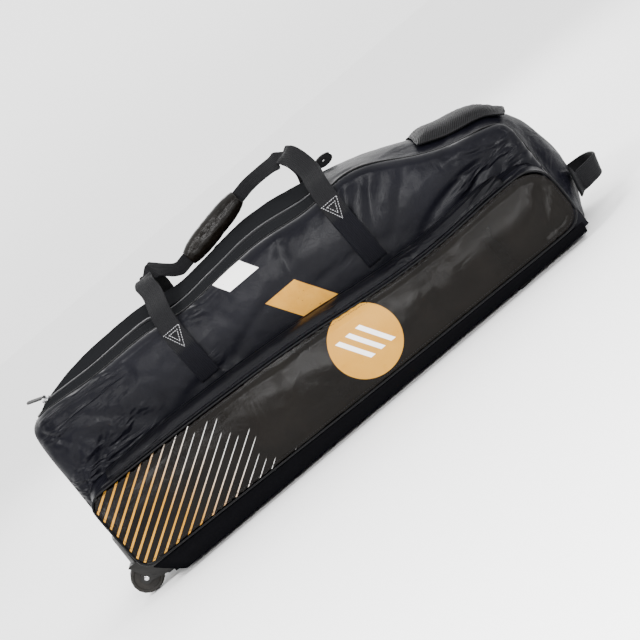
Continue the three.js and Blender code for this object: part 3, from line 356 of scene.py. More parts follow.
def pocket_print(tree, base, rough):
    """Slanted gold stripes fading to the right, and a gold disc with plain slanted bars"""
    x, _, z, where = tree.place()
    turn = math.radians(STRIPES["turn"])
    upward = tree.math("MULTIPLY", z, math.cos(turn))
    onward = tree.math("MULTIPLY", x, math.sin(turn))
    level = tree.math("SUBTRACT", upward, onward)
    row = tree.math("DIVIDE", level, STRIPES["pitch"])
    step = tree.math("FLOOR", row)
    off = tree.math("ABSOLUTE", tree.math("SUBTRACT", tree.math("FRACT", row), 0.5))
    scattered = tree.math("SINE", tree.math("MULTIPLY", step, SCATTER[0]))
    ragged = tree.math("FRACT", tree.math("MULTIPLY", scattered, SCATTER[1]))
    end = tree.math("MULTIPLY_ADD", z, -STRIPES["slope"], STRIPES["to"] + STRIPES["lead"])
    end = tree.math("MULTIPLY_ADD", ragged, STRIPES["ragged"], end)
    share = tree.math("DIVIDE", tree.math("SUBTRACT", x, STRIPES["from"]),
                      tree.math("SUBTRACT", end, STRIPES["from"]))
    wide = tree.math("MULTIPLY_ADD", share, STRIPES["thin"] - STRIPES["wide"], STRIPES["wide"])
    half = tree.math("DIVIDE", wide, 2 * STRIPES["pitch"])
    stripe = tree.ramp(tree.math("SUBTRACT", off, half), 0.02, -0.02)
    stripe = tree.math("MULTIPLY", stripe, tree.ramp(share, 1.0, 0.97))
    shade = tree.mix(tree.noise(where, 9, 1), rgb(GOLD, 0.85), rgb(PALE_GOLD))
    shade = tree.mix(tree.ramp(share, 0.35, 0.95), shade, rgb(WHITE, 0.6))
    base = tree.mix(stripe, base, shade)

    dx = tree.math("SUBTRACT", x, DISC["x"])
    dz = tree.math("SUBTRACT", z, DISC["z"])
    squares = tree.math("ADD", tree.math("MULTIPLY", dx, dx), tree.math("MULTIPLY", dz, dz))
    reach = tree.math("SQRT", squares)
    disc = tree.ramp(reach, DISC["radius"] + PRINT_EDGE, DISC["radius"] - PRINT_EDGE)
    base = tree.mix(disc, base, tree.mix(tree.noise(where, 14, 2), rgb(GOLD), rgb(PALE_GOLD)))
    slanted = tree.math("MULTIPLY_ADD", dz, BAND["slant"], dx)
    place = tree.math("ADD", tree.math("DIVIDE", slanted, DISC["pitch"]), DISC["bars"] / 2)
    inside = tree.math("ABSOLUTE", tree.math("SUBTRACT", tree.math("FRACT", place), 0.5))
    share = DISC["bar"] / DISC["pitch"] / 2
    bar = tree.ramp(inside, share + 0.015, share - 0.015)
    limit = DISC["bars"] * DISC["pitch"] / 2
    across_all = tree.ramp(tree.math("ABSOLUTE", slanted), limit, limit - 2 * PRINT_EDGE)
    bar = tree.math("MULTIPLY", bar, across_all)
    along_bar = tree.ramp(tree.math("ABSOLUTE", dz), DISC["reach"], DISC["reach"] - 2 * PRINT_EDGE)
    bar = tree.math("MULTIPLY", bar, along_bar)
    base = tree.mix(bar, base, rgb(WHITE))
    either = tree.math("MAXIMUM", stripe, disc)
    return base, tree.math("MULTIPLY_ADD", either, 0.10, rough)


def binding(name, colour=BINDING):
    """Narrow ribbed binding"""
    tree = Tree(name)
    x, y, z, where = tree.place()
    rib = tree.wave(tree.math("ADD", tree.math("ADD", x, y), z), 0.0015)
    normal = tree.bump(rib, 0.25, 0.0002)
    fleck = tree.noise(where, 300, 2)
    base = tree.mix(fleck, rgb(colour, 0.7), rgb(colour, 1.5))
    return tree.finish(base, 0.42, normal, Specular_IOR_Level=0.10)


def webbing(name, dark_below=None):
    """Heavy webbing: lengthwise ribs crossed by a herringbone, from the band's own coordinates"""
    tree = Tree(name)
    u, v = tree.uv()
    _, _, z, where = tree.place()
    rib = tree.wave(u, 0.0030)
    zigzag = tree.math("PINGPONG", u, 0.0030)
    chevron = tree.wave(tree.math("ADD", v, zigzag), 0.0022)
    height = tree.math("MULTIPLY_ADD", chevron, 0.55, rib)
    normal = tree.bump(height, 0.45, 0.0007)
    fleck = tree.noise(where, 240, 3)
    share = tree.math("MULTIPLY_ADD", height, 0.14, tree.math("MULTIPLY_ADD", fleck, 0.6, 0.1))
    base = tree.mix(share, rgb(WEBBING, 0.6), rgb(WEBBING, 1.45))
    if dark_below:
        base = tree.mix(tree.ramp(z, dark_below + 0.006, dark_below - 0.006), base, rgb(SATIN, 0.8))
    return tree.finish(base, 0.66, normal, Specular_IOR_Level=0.06)


def ribbed(name):
    """Glossy ribbed cloth of the end pocket, its ribs coloured in light and dark stripes: a painted
    highlight and shade
    """
    tree = Tree(name)
    x, y, z, where = tree.place()
    slope = tree.math("SUBTRACT", x, z)
    fine = tree.wave(y, 0.0022)
    normal = tree.bump(tree.noise(where, 30, 4), 0.5, 0.003)
    normal = tree.bump(fine, 0.3, 0.0005, normal)
    # Painted highlight and shade: the colour runs in light and dark stripes along the ribs' slopes
    base = tree.mix(tree.ramp(tree.wave(slope, RIB), -0.6, 0.7), rgb(RIBBED, 0.2), rgb(RIBBED, 2.4))
    return tree.finish(base, 0.50, normal, Specular_IOR_Level=0.03)


def moulded(name, colour, roughness, grain=380, metal=0.0):
    """Moulded plastic, rubber or paint with a fine grain and light scuffs"""
    tree = Tree(name)
    where = tree.place()[3]
    fine = tree.noise(where, grain, 3)
    scuff = tree.noise(where, 26, 5, 0.7)
    normal = tree.bump(fine, 0.22, 0.0006)
    base = tree.mix(tree.ramp(scuff, 0.45, 0.75), rgb(colour), rgb(colour, 1.7))
    rough = tree.math("MULTIPLY_ADD", scuff, 0.22, roughness - 0.1)
    return tree.finish(base, rough, normal, Metallic=metal, Specular_IOR_Level=0.25)


def brushed(name):
    """Bright steel, brushed and a little dulled"""
    tree = Tree(name)
    where = tree.place()[3]
    streak = tree.noise(where, 700, 2)
    dull = tree.noise(where, 60, 3)
    normal = tree.bump(streak, 0.2, 0.0003)
    base = tree.mix(dull, rgb((0.46, 0.46, 0.48)), rgb((0.72, 0.72, 0.73)))
    return tree.finish(base, tree.math("MULTIPLY_ADD", dull, 0.25, 0.16), normal, Metallic=1.0)


def thread(name, colour):
    """Twisted sewing thread"""
    tree = Tree(name)
    x, y, z, where = tree.place()
    twist = tree.wave(tree.math("ADD", tree.math("ADD", x, y), z), 0.0009)
    normal = tree.bump(twist, 0.4, 0.0002)
    base = tree.mix(tree.noise(where, 500, 2), rgb(colour, 0.75), rgb(colour, 1.15))
    return tree.finish(base, 0.6, normal, Specular_IOR_Level=0.1)


def floor_material():
    tree = Tree("pale_floor")
    where = tree.place()[3]
    base = tree.mix(tree.noise(where, 0.7, 2), rgb((0.93, 0.93, 0.93)), rgb((0.95, 0.95, 0.95)))
    return tree.finish(base, 0.85)


M = {
    "front": satin("satin_front", "front", prints=band_print),
    "wall": satin("satin_wall", "front"),
    "end": satin("satin_end", "end", gloss=0.07),
    "nose": satin("satin_nose", "nose", gloss=0.01),
    "flap": satin("satin_flap", "front", (0.0028, 0.0028, 0.0038)),
    "woven_top": woven("woven_top", "top"),
    "woven_base": woven("woven_base", "front", (0.0034, 0.0034, 0.0040), 0.0026),
    "face": coated("coated_face", prints=pocket_print),
    "grip": coated("coated_grip", gloss=0.12),
    "binding": binding("binding_cloth"),
    "tape": binding("zip_tape", (0.0050, 0.0050, 0.0056)),
    "webbing": webbing("strap_webbing", 0.278),
    "handle": webbing("handle_webbing"),
    "ribbed": ribbed("ribbed_cloth"),
    "plastic": moulded("guard_plastic", PLASTIC, 0.42),
    "foot": moulded("foot_plastic", PLASTIC, 0.5),
    "rubber": moulded("wheel_rubber", RUBBER, 0.66, 260),
    "coil": moulded("zip_coil", (0.02, 0.02, 0.022), 0.3, 500),
    "paint": moulded("black_paint", (0.006, 0.006, 0.0065), 0.35, 500),
    "steel": brushed("brushed_steel"),
    "dark_thread": thread("dark_thread", (0.012, 0.012, 0.014)),
    "light_thread": thread("light_thread", THREAD),
}


# Meshes made from the frame
def node_mesh(node):
    """The node's shape with its facets joined back into quads"""
    bm = bmesh.new()
    bm.from_mesh(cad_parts[node].data)
    bmesh.ops.remove_doubles(bm, verts=bm.verts, dist=1e-6)
    bmesh.ops.join_triangles(bm, faces=bm.faces, angle_face_threshold=math.radians(35),
                             angle_shape_threshold=math.radians(80))
    bm.normal_update()
    return bm


def sharp_edges(bm, angle=SHARP):
    return [e for e in bm.edges if len(e.link_faces) == 2 and e.calc_face_angle(0.0) > angle]


def finished_mesh(name, bm, levels, angle=SHARP):
    """Subdivided mesh whose rims stay sharp"""
    crease = bm.edges.layers.float.get("crease_edge") or bm.edges.layers.float.new("crease_edge")
    for edge in sharp_edges(bm, angle):
        edge[crease] = 1.0
    rough = bpy.data.meshes.new(name + "_rough")
    bm.to_mesh(rough)
    holder = bpy.data.objects.new(name + "_holder", rough)
    bpy.context.scene.collection.objects.link(holder)
    modifier = holder.modifiers.new("smooth", "SUBSURF")
    modifier.levels = modifier.render_levels = levels
    modifier.use_limit_surface = True
    depsgraph = bpy.context.evaluated_depsgraph_get()
    mesh = bpy.data.meshes.new_from_object(holder.evaluated_get(depsgraph))
    mesh.name = name
    bpy.data.objects.remove(holder)
    return mesh


def coordinates(mesh):
    points = np.zeros(len(mesh.vertices) * 3)
    mesh.vertices.foreach_get("co", points)
    normals = np.zeros(len(mesh.vertices) * 3)
    mesh.vertex_normals.foreach_get("vector", normals)
    return points.reshape(-1, 3), normals.reshape(-1, 3)


def piece(name, mesh, material, body="root", stands_for=()):
    obj = bpy.data.objects.new(name, mesh)
    bpy.context.scene.collection.objects.link(obj)
    mesh.materials.clear()
    mesh.materials.append(material)
    mesh.shade_smooth()
    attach(obj, body)
    if stands_for:
        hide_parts(*stands_for)
    return obj


def crease_depth(creases, box, points):
    """Depth of the soft creases at each point of a wall seen from its side"""
    depth = np.zeros(len(points))
    low, high = box
    for row in creases:
        turn = math.radians(row["turn"])
        dx = points[:, 0] - (low[0] + row["along"] * (high[0] - low[0]))
        dz = points[:, 2] - (low[2] + row["up"] * (high[2] - low[2]))
        bent = 0.12 * (dx ** 2 + dz ** 2) / row["reach"]
        onward = (dx * math.cos(turn) + dz * math.sin(turn)) / row["reach"]
        aside = (dz * math.cos(turn) - dx * math.sin(turn) + bent) / row["spread"]
        depth += row["depth"] * np.exp(-onward ** 2 - aside ** 2)
    return depth


def crumpled(points, size, seed, detail=3):
    """Noise from 0 to 1 at each point, with narrow crests like those of creased cloth"""
    offset = Vector((seed * 7.1, seed * 3.7, seed * 1.3))
    found = [noise.fractal(Vector(p) / size + offset, 0.9, 2.1, detail) for p in points]
    found = np.array(found)
    rounded = np.clip(0.5 + 0.6 * found, 0, 1)
    sharp = np.clip(np.abs(found) * 1.5, 0, 1)
    return SOFT * rounded + (1 - SOFT) * sharp


def shell(name, node, levels, material, creases=(), waves=(), seed=1, fade=FADE):
    """A cloth piece that stands for a CAD shell: its own smooth mesh, creased inwards between its seams"""
    bm = node_mesh(node)
    shares = (0.0, 0.25, 0.5, 0.75, 1.0)
    spots = [e.verts[0].co.lerp(e.verts[1].co, s) for e in sharp_edges(bm) for s in shares]
    rims = KDTree(max(len(spots), 1))
    for i, spot in enumerate(spots):
        rims.insert(spot, i)
    rims.balance()
    mesh = finished_mesh(name, bm, levels)
    bm.free()
    points, normals = coordinates(mesh)
    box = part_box(node)
    middle = np.array((box[0] + box[1]) / 2)
    if node in ("front_panel", "pocket_face", "back_panel", "pocket_flap", "pocket_gusset"):
        middle[1] = MIDDLE_Y
    outward = np.sign(np.einsum("ij,ij->i", normals, points - middle))
    depth = crease_depth(creases, box, points) if len(creases) else np.zeros(len(points))
    for size, height in waves:
        depth += height * crumpled(points, size, seed)
        seed += 1
    near = np.array([rims.find(Vector(p))[2] for p in points])
    depth *= np.clip(near / fade, 0, 1) ** 1.2
    moved = points - normals * (outward * depth)[:, None]
    mesh.vertices.foreach_set("co", moved.ravel())
    mesh.update()
    return piece(name, mesh, material, stands_for=(node,))


# Sewing
def walk(chain, faces, left):
    """Lengthens a chain of corners along the edges that are left, the straightest way at each corner"""
    while True:
        end = chain[-1]
        way = (end.co - chain[-2].co).normalized()
        ahead = [edge for edge in end.link_edges if edge.index in left]
        if not ahead:
            return
        step = max(ahead, key=lambda edge: (edge.other_vert(end).co - end.co).normalized().dot(way))
        del left[step.index]
        chain.append(step.other_vert(end))
        faces.append(step.link_faces)


def rim_loops(node):
    """Each sharp rim of a shell as ordered places, each with its way into the panel and its normal"""
    bm = node_mesh(node)
    bm.edges.index_update()
    left = {edge.index: edge for edge in sharp_edges(bm)}
    loops = []
    while left:
        first = left.pop(min(left))
        chain = [first.verts[0], first.verts[1]]
        faces = [first.link_faces]
        for _ in ("onward", "back"):
            walk(chain, faces, left)
            chain.reverse()
            faces.reverse()
        rows = []
        for a, b, pair in zip(chain, chain[1:], faces):
            wide = max(pair, key=lambda face: face.calc_area())
            way = (b.co - a.co).normalized()
            inward = wide.normal.cross(way)
            if inward.dot(wide.calc_center_median() - a.co) < 0:
                inward.negate()
            rows.append({"at": a.co.copy(), "to": b.co.copy(),
                         "in": inward.normalized(), "normal": wide.normal.copy()})
        loops.append(rows)
    bm.free()
    return loops


def tree_of(obj):
    mesh = obj.data
    return BVHTree.FromPolygons([v.co for v in mesh.vertices], [list(p.vertices) for p in mesh.polygons])


def stitch_places(rows, sizes):
    """Middle, way and normal of each stitch along rows of segments"""
    pitch = sizes["length"] + sizes["gap"]
    places = []
    carried = 0.0
    for row in rows:
        start, end = row["at"], row["to"]
        length = (end - start).length
        if length < 1e-6:
            continue
        way = (end - start) / length
        at = carried
        while at < length:
            places.append((start + way * at, way, row["normal"]))
            at += pitch
        carried = at - length
    return places


STITCH_RINGS = ((-0.5, 0.25), (-0.34, 1.0), (0.34, 1.0), (0.5, 0.25))


def stitches(name, places, surface, sizes, material):
    """All the stitches of a seam in one mesh, each laid on the cloth under it"""
    verts, faces = [], []
    half = sizes["width"] / 2
    for at, way, normal in places:
        if surface is not None:
            spot, found, _, distance = surface.find_nearest(at)
            if spot is None or distance > STITCH_REACH:
                continue
            normal = found if found.dot(normal) > 0 else -found
            at = spot
        side = way.cross(normal).normalized()
        normal = side.cross(way).normalized()
        base = len(verts)
        for share, size in STITCH_RINGS:
            centre = at + way * (share * sizes["length"]) + normal * (half * STITCH_LIFT)
            for k in range(4):
                angle = math.pi / 2 * k
                aside = math.cos(angle) * half * size
                upward = math.sin(angle) * half * size
                verts.append(centre + side * aside + normal * upward)
        for ring in range(3):
            for k in range(4):
                a = base + ring * 4 + k
                b = base + ring * 4 + (k + 1) % 4
                faces.append((a, b, b + 4, a + 4))
        faces.append(tuple(base + k for k in (3, 2, 1, 0)))
        faces.append(tuple(base + 12 + k for k in range(4)))
    if not verts:
        return None
    mesh = bpy.data.meshes.new(name)
    mesh.from_pydata(verts, [], faces)
    mesh.update()
    return piece(name, mesh, material)


def seam_stitches(name, node, cloth, centre=Vector((0, MIDDLE_Y, 0.17))):
    """A row of stitches inside the rim that lies farthest from the centre"""
    loops = rim_loops(node)
    loops.sort(key=lambda rows: -sum((row["at"] - centre).length for row in rows) / len(rows))
    surface = tree_of(cloth)
    rows = []
    for row in loops[0]:
        shift = row["in"] * SEAM_INSET
        rows.append({**row, "at": row["at"] + shift, "to": row["to"] + shift})
    return stitches(name, stitch_places(rows, STITCH), surface, STITCH, M["dark_thread"])


# Bands: straps, handle and zips, from the rings of their swept solids
def rings_of(node, first, count=4):
    """The rings of a swept node, in order from the end that first() ranks lowest"""
    bm = bmesh.new()
    bm.from_mesh(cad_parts[node].data)
    bmesh.ops.remove_doubles(bm, verts=bm.verts, dist=1e-6)
    layers = [sorted(bm.verts, key=lambda v: first(v.co))[:count]]
    seen = set(layers[0])
    while True:
        around = (e.other_vert(v) for v in layers[-1] for e in v.link_edges)
        ring = list(dict.fromkeys(v for v in around if v not in seen))
        if not ring:
            break
        layers.append(ring)
        seen.update(ring)
    rings = [np.array([v.co[:] for v in ring]) for ring in layers if len(ring) == count]
    bm.free()
    return rings


def band_frames(rings, fine):
    """Smooth frames along a band: middle, half width vector, outward way and length so far"""
    middles = np.array([ring.mean(0) for ring in rings])
    widths = []
    for ring, middle in zip(rings, middles):
        pull = ring - middle
        _, sizes, axes = np.linalg.svd(pull)
        half = axes[0] * np.abs(pull @ axes[0]).max()
        if widths and widths[-1] @ half < 0:
            half = -half
        widths.append(half)
    widths = np.array(widths)

    def smooth(values):
        padded = np.vstack([2 * values[0] - values[1], values, 2 * values[-1] - values[-2]])
        out = []
        for i in range(1, len(padded) - 2):
            a, b, c, d = padded[i - 1:i + 3]
            for k in range(fine):
                t = k / fine
                out.append(0.5 * (2 * b + (c - a) * t + (2 * a - 5 * b + 4 * c - d) * t ** 2
                                  + (3 * b - a - 3 * c + d) * t ** 3))
        out.append(values[-1])
        return np.array(out)

    middles, widths = smooth(middles), smooth(widths)
    ways = np.gradient(middles, axis=0)
    ways /= np.linalg.norm(ways, axis=1)[:, None]
    outs = np.cross(ways, widths)
    outs /= np.linalg.norm(outs, axis=1)[:, None]
    if (outs * (middles - middles.mean(0))).sum() < 0:
        widths, outs = -widths, -outs
    lengths = np.concatenate([[0], np.cumsum(np.linalg.norm(np.diff(middles, axis=0), axis=1))])
    return middles, widths, outs, lengths


def band_section(thickness, columns, edge):
    """Section of a band: share of the half width, height and UV place, once round"""
    top = [(s, 1.0) for s in np.linspace(-1 + edge, 1 - edge, columns)]
    angles = np.linspace(math.pi / 2, -math.pi / 2, 6)[1:-1]
    turn = [(1 - edge + edge * math.cos(a), math.sin(a)) for a in angles]
    bottom = [(-s, -1.0) for s in np.linspace(-1 + edge, 1 - edge, columns)]
    back = [(-s, -h) for s, h in turn]
    return [(s, h * thickness / 2) for s, h in top + turn + bottom + back]


def band(name, rings, fine, thickness, columns, edge, material, slot, stands_for):
    """A woven band lofted along its frames, with a UV map in metres"""
    middles, widths, outs, lengths = band_frames(rings, fine)
    section = band_section(thickness, columns, edge)
    count = len(section)
    verts, faces, uvs = [], [], []
    for middle, wide, out in zip(middles, widths, outs):
        for s, h in section:
            verts.append(middle + wide * s + out * h)
    for i in range(len(middles) - 1):
        for j in range(count):
            k = (j + 1) % count
            faces.append((i * count + j, i * count + k, (i + 1) * count + k, (i + 1) * count + j))
            half = np.linalg.norm(widths[i])
            for row, column in ((i, j), (i, k), (i + 1, k), (i + 1, j)):
                uvs.append((section[column][0] * half, lengths[row]))
    last = (len(middles) - 1) * count
    faces.append(tuple(reversed(range(count))))
    faces.append(tuple(last + j for j in range(count)))
    uvs += [(0.0, 0.0)] * (2 * count)
    mesh = bpy.data.meshes.new(name)
    mesh.from_pydata([tuple(v) for v in verts], [], faces)
    layer = mesh.uv_layers.new(name="UVMap")
    layer.data.foreach_set("uv", np.array(uvs).ravel())
    bm = bmesh.new()
    bm.from_mesh(mesh)
    bmesh.ops.recalc_face_normals(bm, faces=bm.faces)
    bm.to_mesh(mesh)
    bm.free()
    return piece(name, mesh, material, stands_for=stands_for)


def edge_stitches(name, rings, fine, share, height):
    """Two rows of stitches along a band, on its outer face"""
    middles, widths, outs, _ = band_frames(rings, fine)
    places = []
    for side in (-share, share):
        path = [Vector(m + w * side + o * height) for m, w, o in zip(middles, widths, outs)]
        rows = [{"at": a, "to": b, "normal": Vector(o)} for a, b, o in zip(path, path[1:], outs)]
        places += stitch_places(rows, STITCH)
    return stitches(name, places, None, STITCH, M["dark_thread"])


def zip_teeth(name, rings, fine, lift):
    """The closed coil of a zip: teeth laid across its middle from both sides in turn"""
    middles, widths, outs, lengths = band_frames(rings, fine)
    verts, faces = [], []
    at = TOOTH["pitch"]
    row = 0
    flip = 1 if outs[len(outs) // 2][2] > 0 else -1
    while at < lengths[-1] - TOOTH["pitch"]:
        i = int(np.searchsorted(lengths, at)) - 1
        t = (at - lengths[i]) / max(lengths[i + 1] - lengths[i], 1e-9)
        middle = middles[i] * (1 - t) + middles[i + 1] * t
        side = widths[i] / np.linalg.norm(widths[i]) * (1 if row % 2 else -1)
        out = outs[i] * flip
        way = np.cross(side, out)
        base = len(verts)
        for a, b, c in ((-0.35, -1, 0), (0.65, -1, 0), (0.65, 1, 0), (-0.35, 1, 0),
                        (-0.3, -0.7, 1), (0.55, -0.7, 1), (0.55, 0.7, 1), (-0.3, 0.7, 1)):
            verts.append(middle + side * (a * TOOTH["length"]) + way * (b * TOOTH["width"] / 2)
                         + out * (lift + c * TOOTH["height"]))
        for face in ((0, 3, 2, 1), (4, 5, 6, 7), (0, 1, 5, 4), (1, 2, 6, 5), (2, 3, 7, 6), (3, 0, 4, 7)):
            faces.append(tuple(base + k for k in face))
        at += TOOTH["pitch"] / 2
        row += 1
    mesh = bpy.data.meshes.new(name)
    mesh.from_pydata([tuple(v) for v in verts], [], faces)
    bm = bmesh.new()
    bm.from_mesh(mesh)
    bmesh.ops.recalc_face_normals(bm, faces=bm.faces)
    bm.to_mesh(mesh)
    bm.free()
    return piece(name, mesh, M["coil"])


def triangle_stitches(name, middle, top, wide, tall, surface, normal):
    """Two stitched triangles, one in the other, that fasten a strap's leg"""
    places = []
    for scale, drop in TRIANGLE_ROWS:
        half = wide / 2 * scale
        high = top - drop * tall
        corners = [Vector((middle - half, 0, high)), Vector((middle + half, 0, high)),
                   Vector((middle, 0, high - tall * scale))]
        rows = []
        for a, b in zip(corners, corners[1:] + corners[:1]):
            for i in range(TRIANGLE_STEPS):
                start, end = (a.lerp(b, k / TRIANGLE_STEPS) for k in (i, i + 1))
                on = []
                for p in (start, end):
                    origin = Vector((p.x, normal.y * PROBE_FROM, p.z))
                    hit = surface.ray_cast(origin, -normal)[0]
                    on.append(hit if hit is not None else p)
                rows.append({"at": on[0], "to": on[1], "normal": normal})
        places += stitch_places(rows, TRIANGLE_STITCH)
    return stitches(name, places, surface, TRIANGLE_STITCH, M["light_thread"])


# Pieces of the bag
def walls():
    front = shell("front_panel_cloth", "front_panel", 3, M["front"], FRONT_CREASES,
                  [(0.070, 0.0034), (0.026, 0.0007)], 3)
    back = shell("back_panel_cloth", "back_panel", 3, M["wall"], BACK_CREASES,
                 [(0.080, 0.0046), (0.028, 0.0009)], 9)
    shell("wheel_end_cloth", "wheel_end_panel", 3, M["end"], (),
          [(0.070, 0.0034), (0.026, 0.0008)], 15)
    nose = shell("nose_panel_cloth", "nose_panel", 3, M["nose"], NOSE_CREASES,
                 [(0.070, 0.0034), (0.026, 0.0008)], 21)
    seam_stitches("front_panel_stitches", "front_panel", front)
    seam_stitches("back_panel_stitches", "back_panel", back)
    seam_stitches("nose_panel_stitches", "nose_panel", nose)


def top():
    border = shell("top_border_cloth", "top_border", 3, M["woven_top"], (),
                   [(0.040, 0.0012)], 27, 0.008)
    lid = shell("lid_cloth", "lid", 3, M["woven_top"], (),
                [(0.070, 0.0034), (0.024, 0.0010)], 31)
    far_below = Vector((0, MIDDLE_Y, -1))
    seam_stitches("lid_stitches", "lid", lid, far_below)
    seam_stitches("top_border_stitches", "top_border", border, far_below)
    rings = rings_of("main_zip", lambda co: -co.x if co.y < MIDDLE_Y else 9)
    band("main_zip_tape", rings, **TAPE, material=M["tape"], slot="binding", stands_for=("main_zip",))
    zip_teeth("main_zip_coil", rings, TAPE["fine"], COIL_LIFT)


def piping(node):
    mesh = finished_mesh(node + "_cord", node_mesh(node), 2, math.radians(85))
    piece(node + "_cord", mesh, M["binding"], stands_for=(node,))


def pocket():
    face = shell("pocket_face_cloth", "pocket_face", 3, M["face"], FACE_CREASES,
                 [(0.110, 0.0030), (0.030, 0.0006)], 37, 0.014)
    shell("pocket_gusset_cloth", "pocket_gusset", 2, M["wall"], (),
          [(0.040, 0.0022), (0.016, 0.0010)], 43, 0.010)
    flap = shell("pocket_flap_cloth", "pocket_flap", 3, M["flap"], (),
                 [(0.050, 0.0016), (0.018, 0.0009)], 49, 0.010)
    seam_stitches("pocket_face_stitches", "pocket_face", face)
    seam_stitches("pocket_flap_stitches", "pocket_flap", flap)
    rings = rings_of("pocket_zip", lambda co: co.x)
    band("pocket_zip_tape", rings, **TAPE, material=M["tape"], slot="binding", stands_for=("pocket_zip",))
    zip_teeth("pocket_zip_coil", rings, TAPE["fine"], COIL_LIFT)


def base():
    shell("base_tray_cloth", "base_tray", 2, M["woven_base"], (), [(0.050, 0.0012)], 55, 0.012)


def end_pocket():
    """The ribbed pocket: its cloth is gathered into fine ribs across the slope"""
    bm = node_mesh("end_pocket")
    mesh = finished_mesh("end_pocket_cloth", bm, 4)
    bm.free()
    points, normals = coordinates(mesh)
    outward = np.sign(normals[:, 2] + 0.35 * normals[:, 0])
    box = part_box("end_pocket")
    slope = points[:, 0] - points[:, 2]
    rib = 0.5 + 0.5 * np.cos(2 * math.pi * slope / RIB)
    near = np.minimum.reduce([points[:, 1] - box[0].y, box[1].y - points[:, 1]])
    depth = RIB_DEPTH * rib * np.clip(near / 0.012, 0, 1)
    depth += 0.0014 * crumpled(points, 0.03, 61) * np.clip(near / 0.03, 0, 1)
    mesh.vertices.foreach_set("co", (points - normals * (outward * depth)[:, None]).ravel())
    mesh.update()
    cloth = piece("end_pocket_cloth", mesh, M["ribbed"], stands_for=("end_pocket",))
    seam_stitches("end_pocket_stitches", "end_pocket", cloth, Vector((0.3, MIDDLE_Y, 0.1)))


def straps():
    for node in ("carry_strap_front", "carry_strap_back"):
        rings = rings_of(node, lambda co: co.z if co.x < -0.03 else 9)
        strap = band(node + "_web", rings, **STRAP, material=M["webbing"], slot="webbing",
                     stands_for=(node,))
        edge_stitches(node + "_edge", rings, STRAP["fine"], **STRAP_ROWS)
        surface = tree_of(strap)
        normal = Vector((0, -1 if "front" in node else 1, 0))
        low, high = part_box(node)
        wide = rings[0].max(0)[0] - rings[0].min(0)[0]
        legs = (("left", low.x + wide / 2, TRIANGLE["left_top"]),
                ("right", high.x - wide / 2 - TRIANGLE["right_shift"], TRIANGLE["right_top"]))
        for side, middle, top_z in legs:
            triangle_stitches(f"{node}_{side}_triangle", middle, top_z, wide * TRIANGLE["wide"],
                              TRIANGLE["tall"], surface, normal)


def grip():
    """The padded sleeve that holds both straps, whose edge is overlapped and stitched; here the CAD shape is
    filled out towards its middle and lightly dented, and the stitches are not drawn
    """
    bm = node_mesh("grip_wrap")
    mesh = finished_mesh("grip_wrap_pad", bm, 3, math.radians(62))
    bm.free()
    points, normals = coordinates(mesh)
    along = points[:, 0] - (points[:, 0].min() + points[:, 0].max()) / 2
    full = 1 - (np.abs(along) / np.abs(along).max()) ** 4
    dents = 0.0014 * crumpled(points, 0.022, 71) + 0.0005 * crumpled(points, 0.008, 73)
    depth = dents - GRIP_FILL * full
    mesh.vertices.foreach_set("co", (points - normals * depth[:, None]).ravel())
    mesh.update()
    pad = piece("grip_wrap_pad", mesh, M["grip"], stands_for=("grip_wrap",))


def handle():
    rings = rings_of("grab_handle", lambda co: co.y)
    band("grab_handle_web", rings, **HANDLE, material=M["handle"], slot="webbing",
         stands_for=("grab_handle",))
    edge_stitches("grab_handle_edge", rings, HANDLE["fine"], **HANDLE_ROWS)


def roll():
    """The rolled strap end: a spiral of webbing"""
    low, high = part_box("strap_roll")
    middle = (low + high) / 2
    half = (high - low) / 2
    thickness = ROLL_BAND["thickness"]
    rings = []
    for i in range(ROLL["steps"] + 1):
        share = i / ROLL["steps"]
        angle = 2 * math.pi * ROLL["turns"] * share + ROLL["start"]
        shrink = 1 - ROLL["shrink"] * share
        across_x = math.cos(angle) * (half.x - thickness) * shrink
        across_z = math.sin(angle) * (half.z - thickness) * shrink
        centre = middle + Vector((across_x, 0, across_z))
        sides = [centre.y + s * half.y * ROLL["wide"] for s in (-1, 1)]
        rings.append(np.array([[centre.x, y, centre.z + lift] for lift in (0, 1e-5) for y in sides]))
    band("strap_roll_web", rings, **ROLL_BAND, material=M["handle"], slot="webbing",
         stands_for=("strap_roll",))


def hard_parts():
    """Moulded and metal nodes keep their own shape: softened edges and their finish"""
    finishes = {
        "wheel_base": ("plastic", 0.0012), "foot_front": ("foot", 0.0008), "foot_back": ("foot", 0.0008),
        "wheel_front": ("rubber", 0.0008), "wheel_back": ("rubber", 0.0008),
        "axle_front": ("steel", 0.0005), "axle_back": ("steel", 0.0005),
        "zip_slider": ("steel", 0.0004), "zip_pull": ("paint", 0.0004),
    }
    for node, (material, width) in finishes.items():
        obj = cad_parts[node]
        obj.data.materials.clear()
        obj.data.materials.append(M[material])
        weld = obj.modifiers.new("weld", "WELD")
        weld.merge_threshold = 1e-6
        bevel = obj.modifiers.new("edge", "BEVEL")
        bevel.width = width
        bevel.segments = 2
        bevel.limit_method = "ANGLE"
        bevel.angle_limit = math.radians(32)
        bevel.harden_normals = True
        for polygon in obj.data.polygons:
            polygon.use_smooth = True


# Stage, light and camera
def stage():
    bm = bmesh.new()
    corners = ((-1, -1), (1, -1), (1, 1), (-1, 1))
    bm.faces.new([bm.verts.new((x * FLOOR_HALF, y * FLOOR_HALF, 0)) for x, y in corners])
    mesh = bpy.data.meshes.new("stage_floor")
    bm.to_mesh(mesh)
    bm.free()
    mesh.materials.append(floor_material())
    obj = bpy.data.objects.new("stage_floor", mesh)
    bpy.context.scene.collection.objects.link(obj)


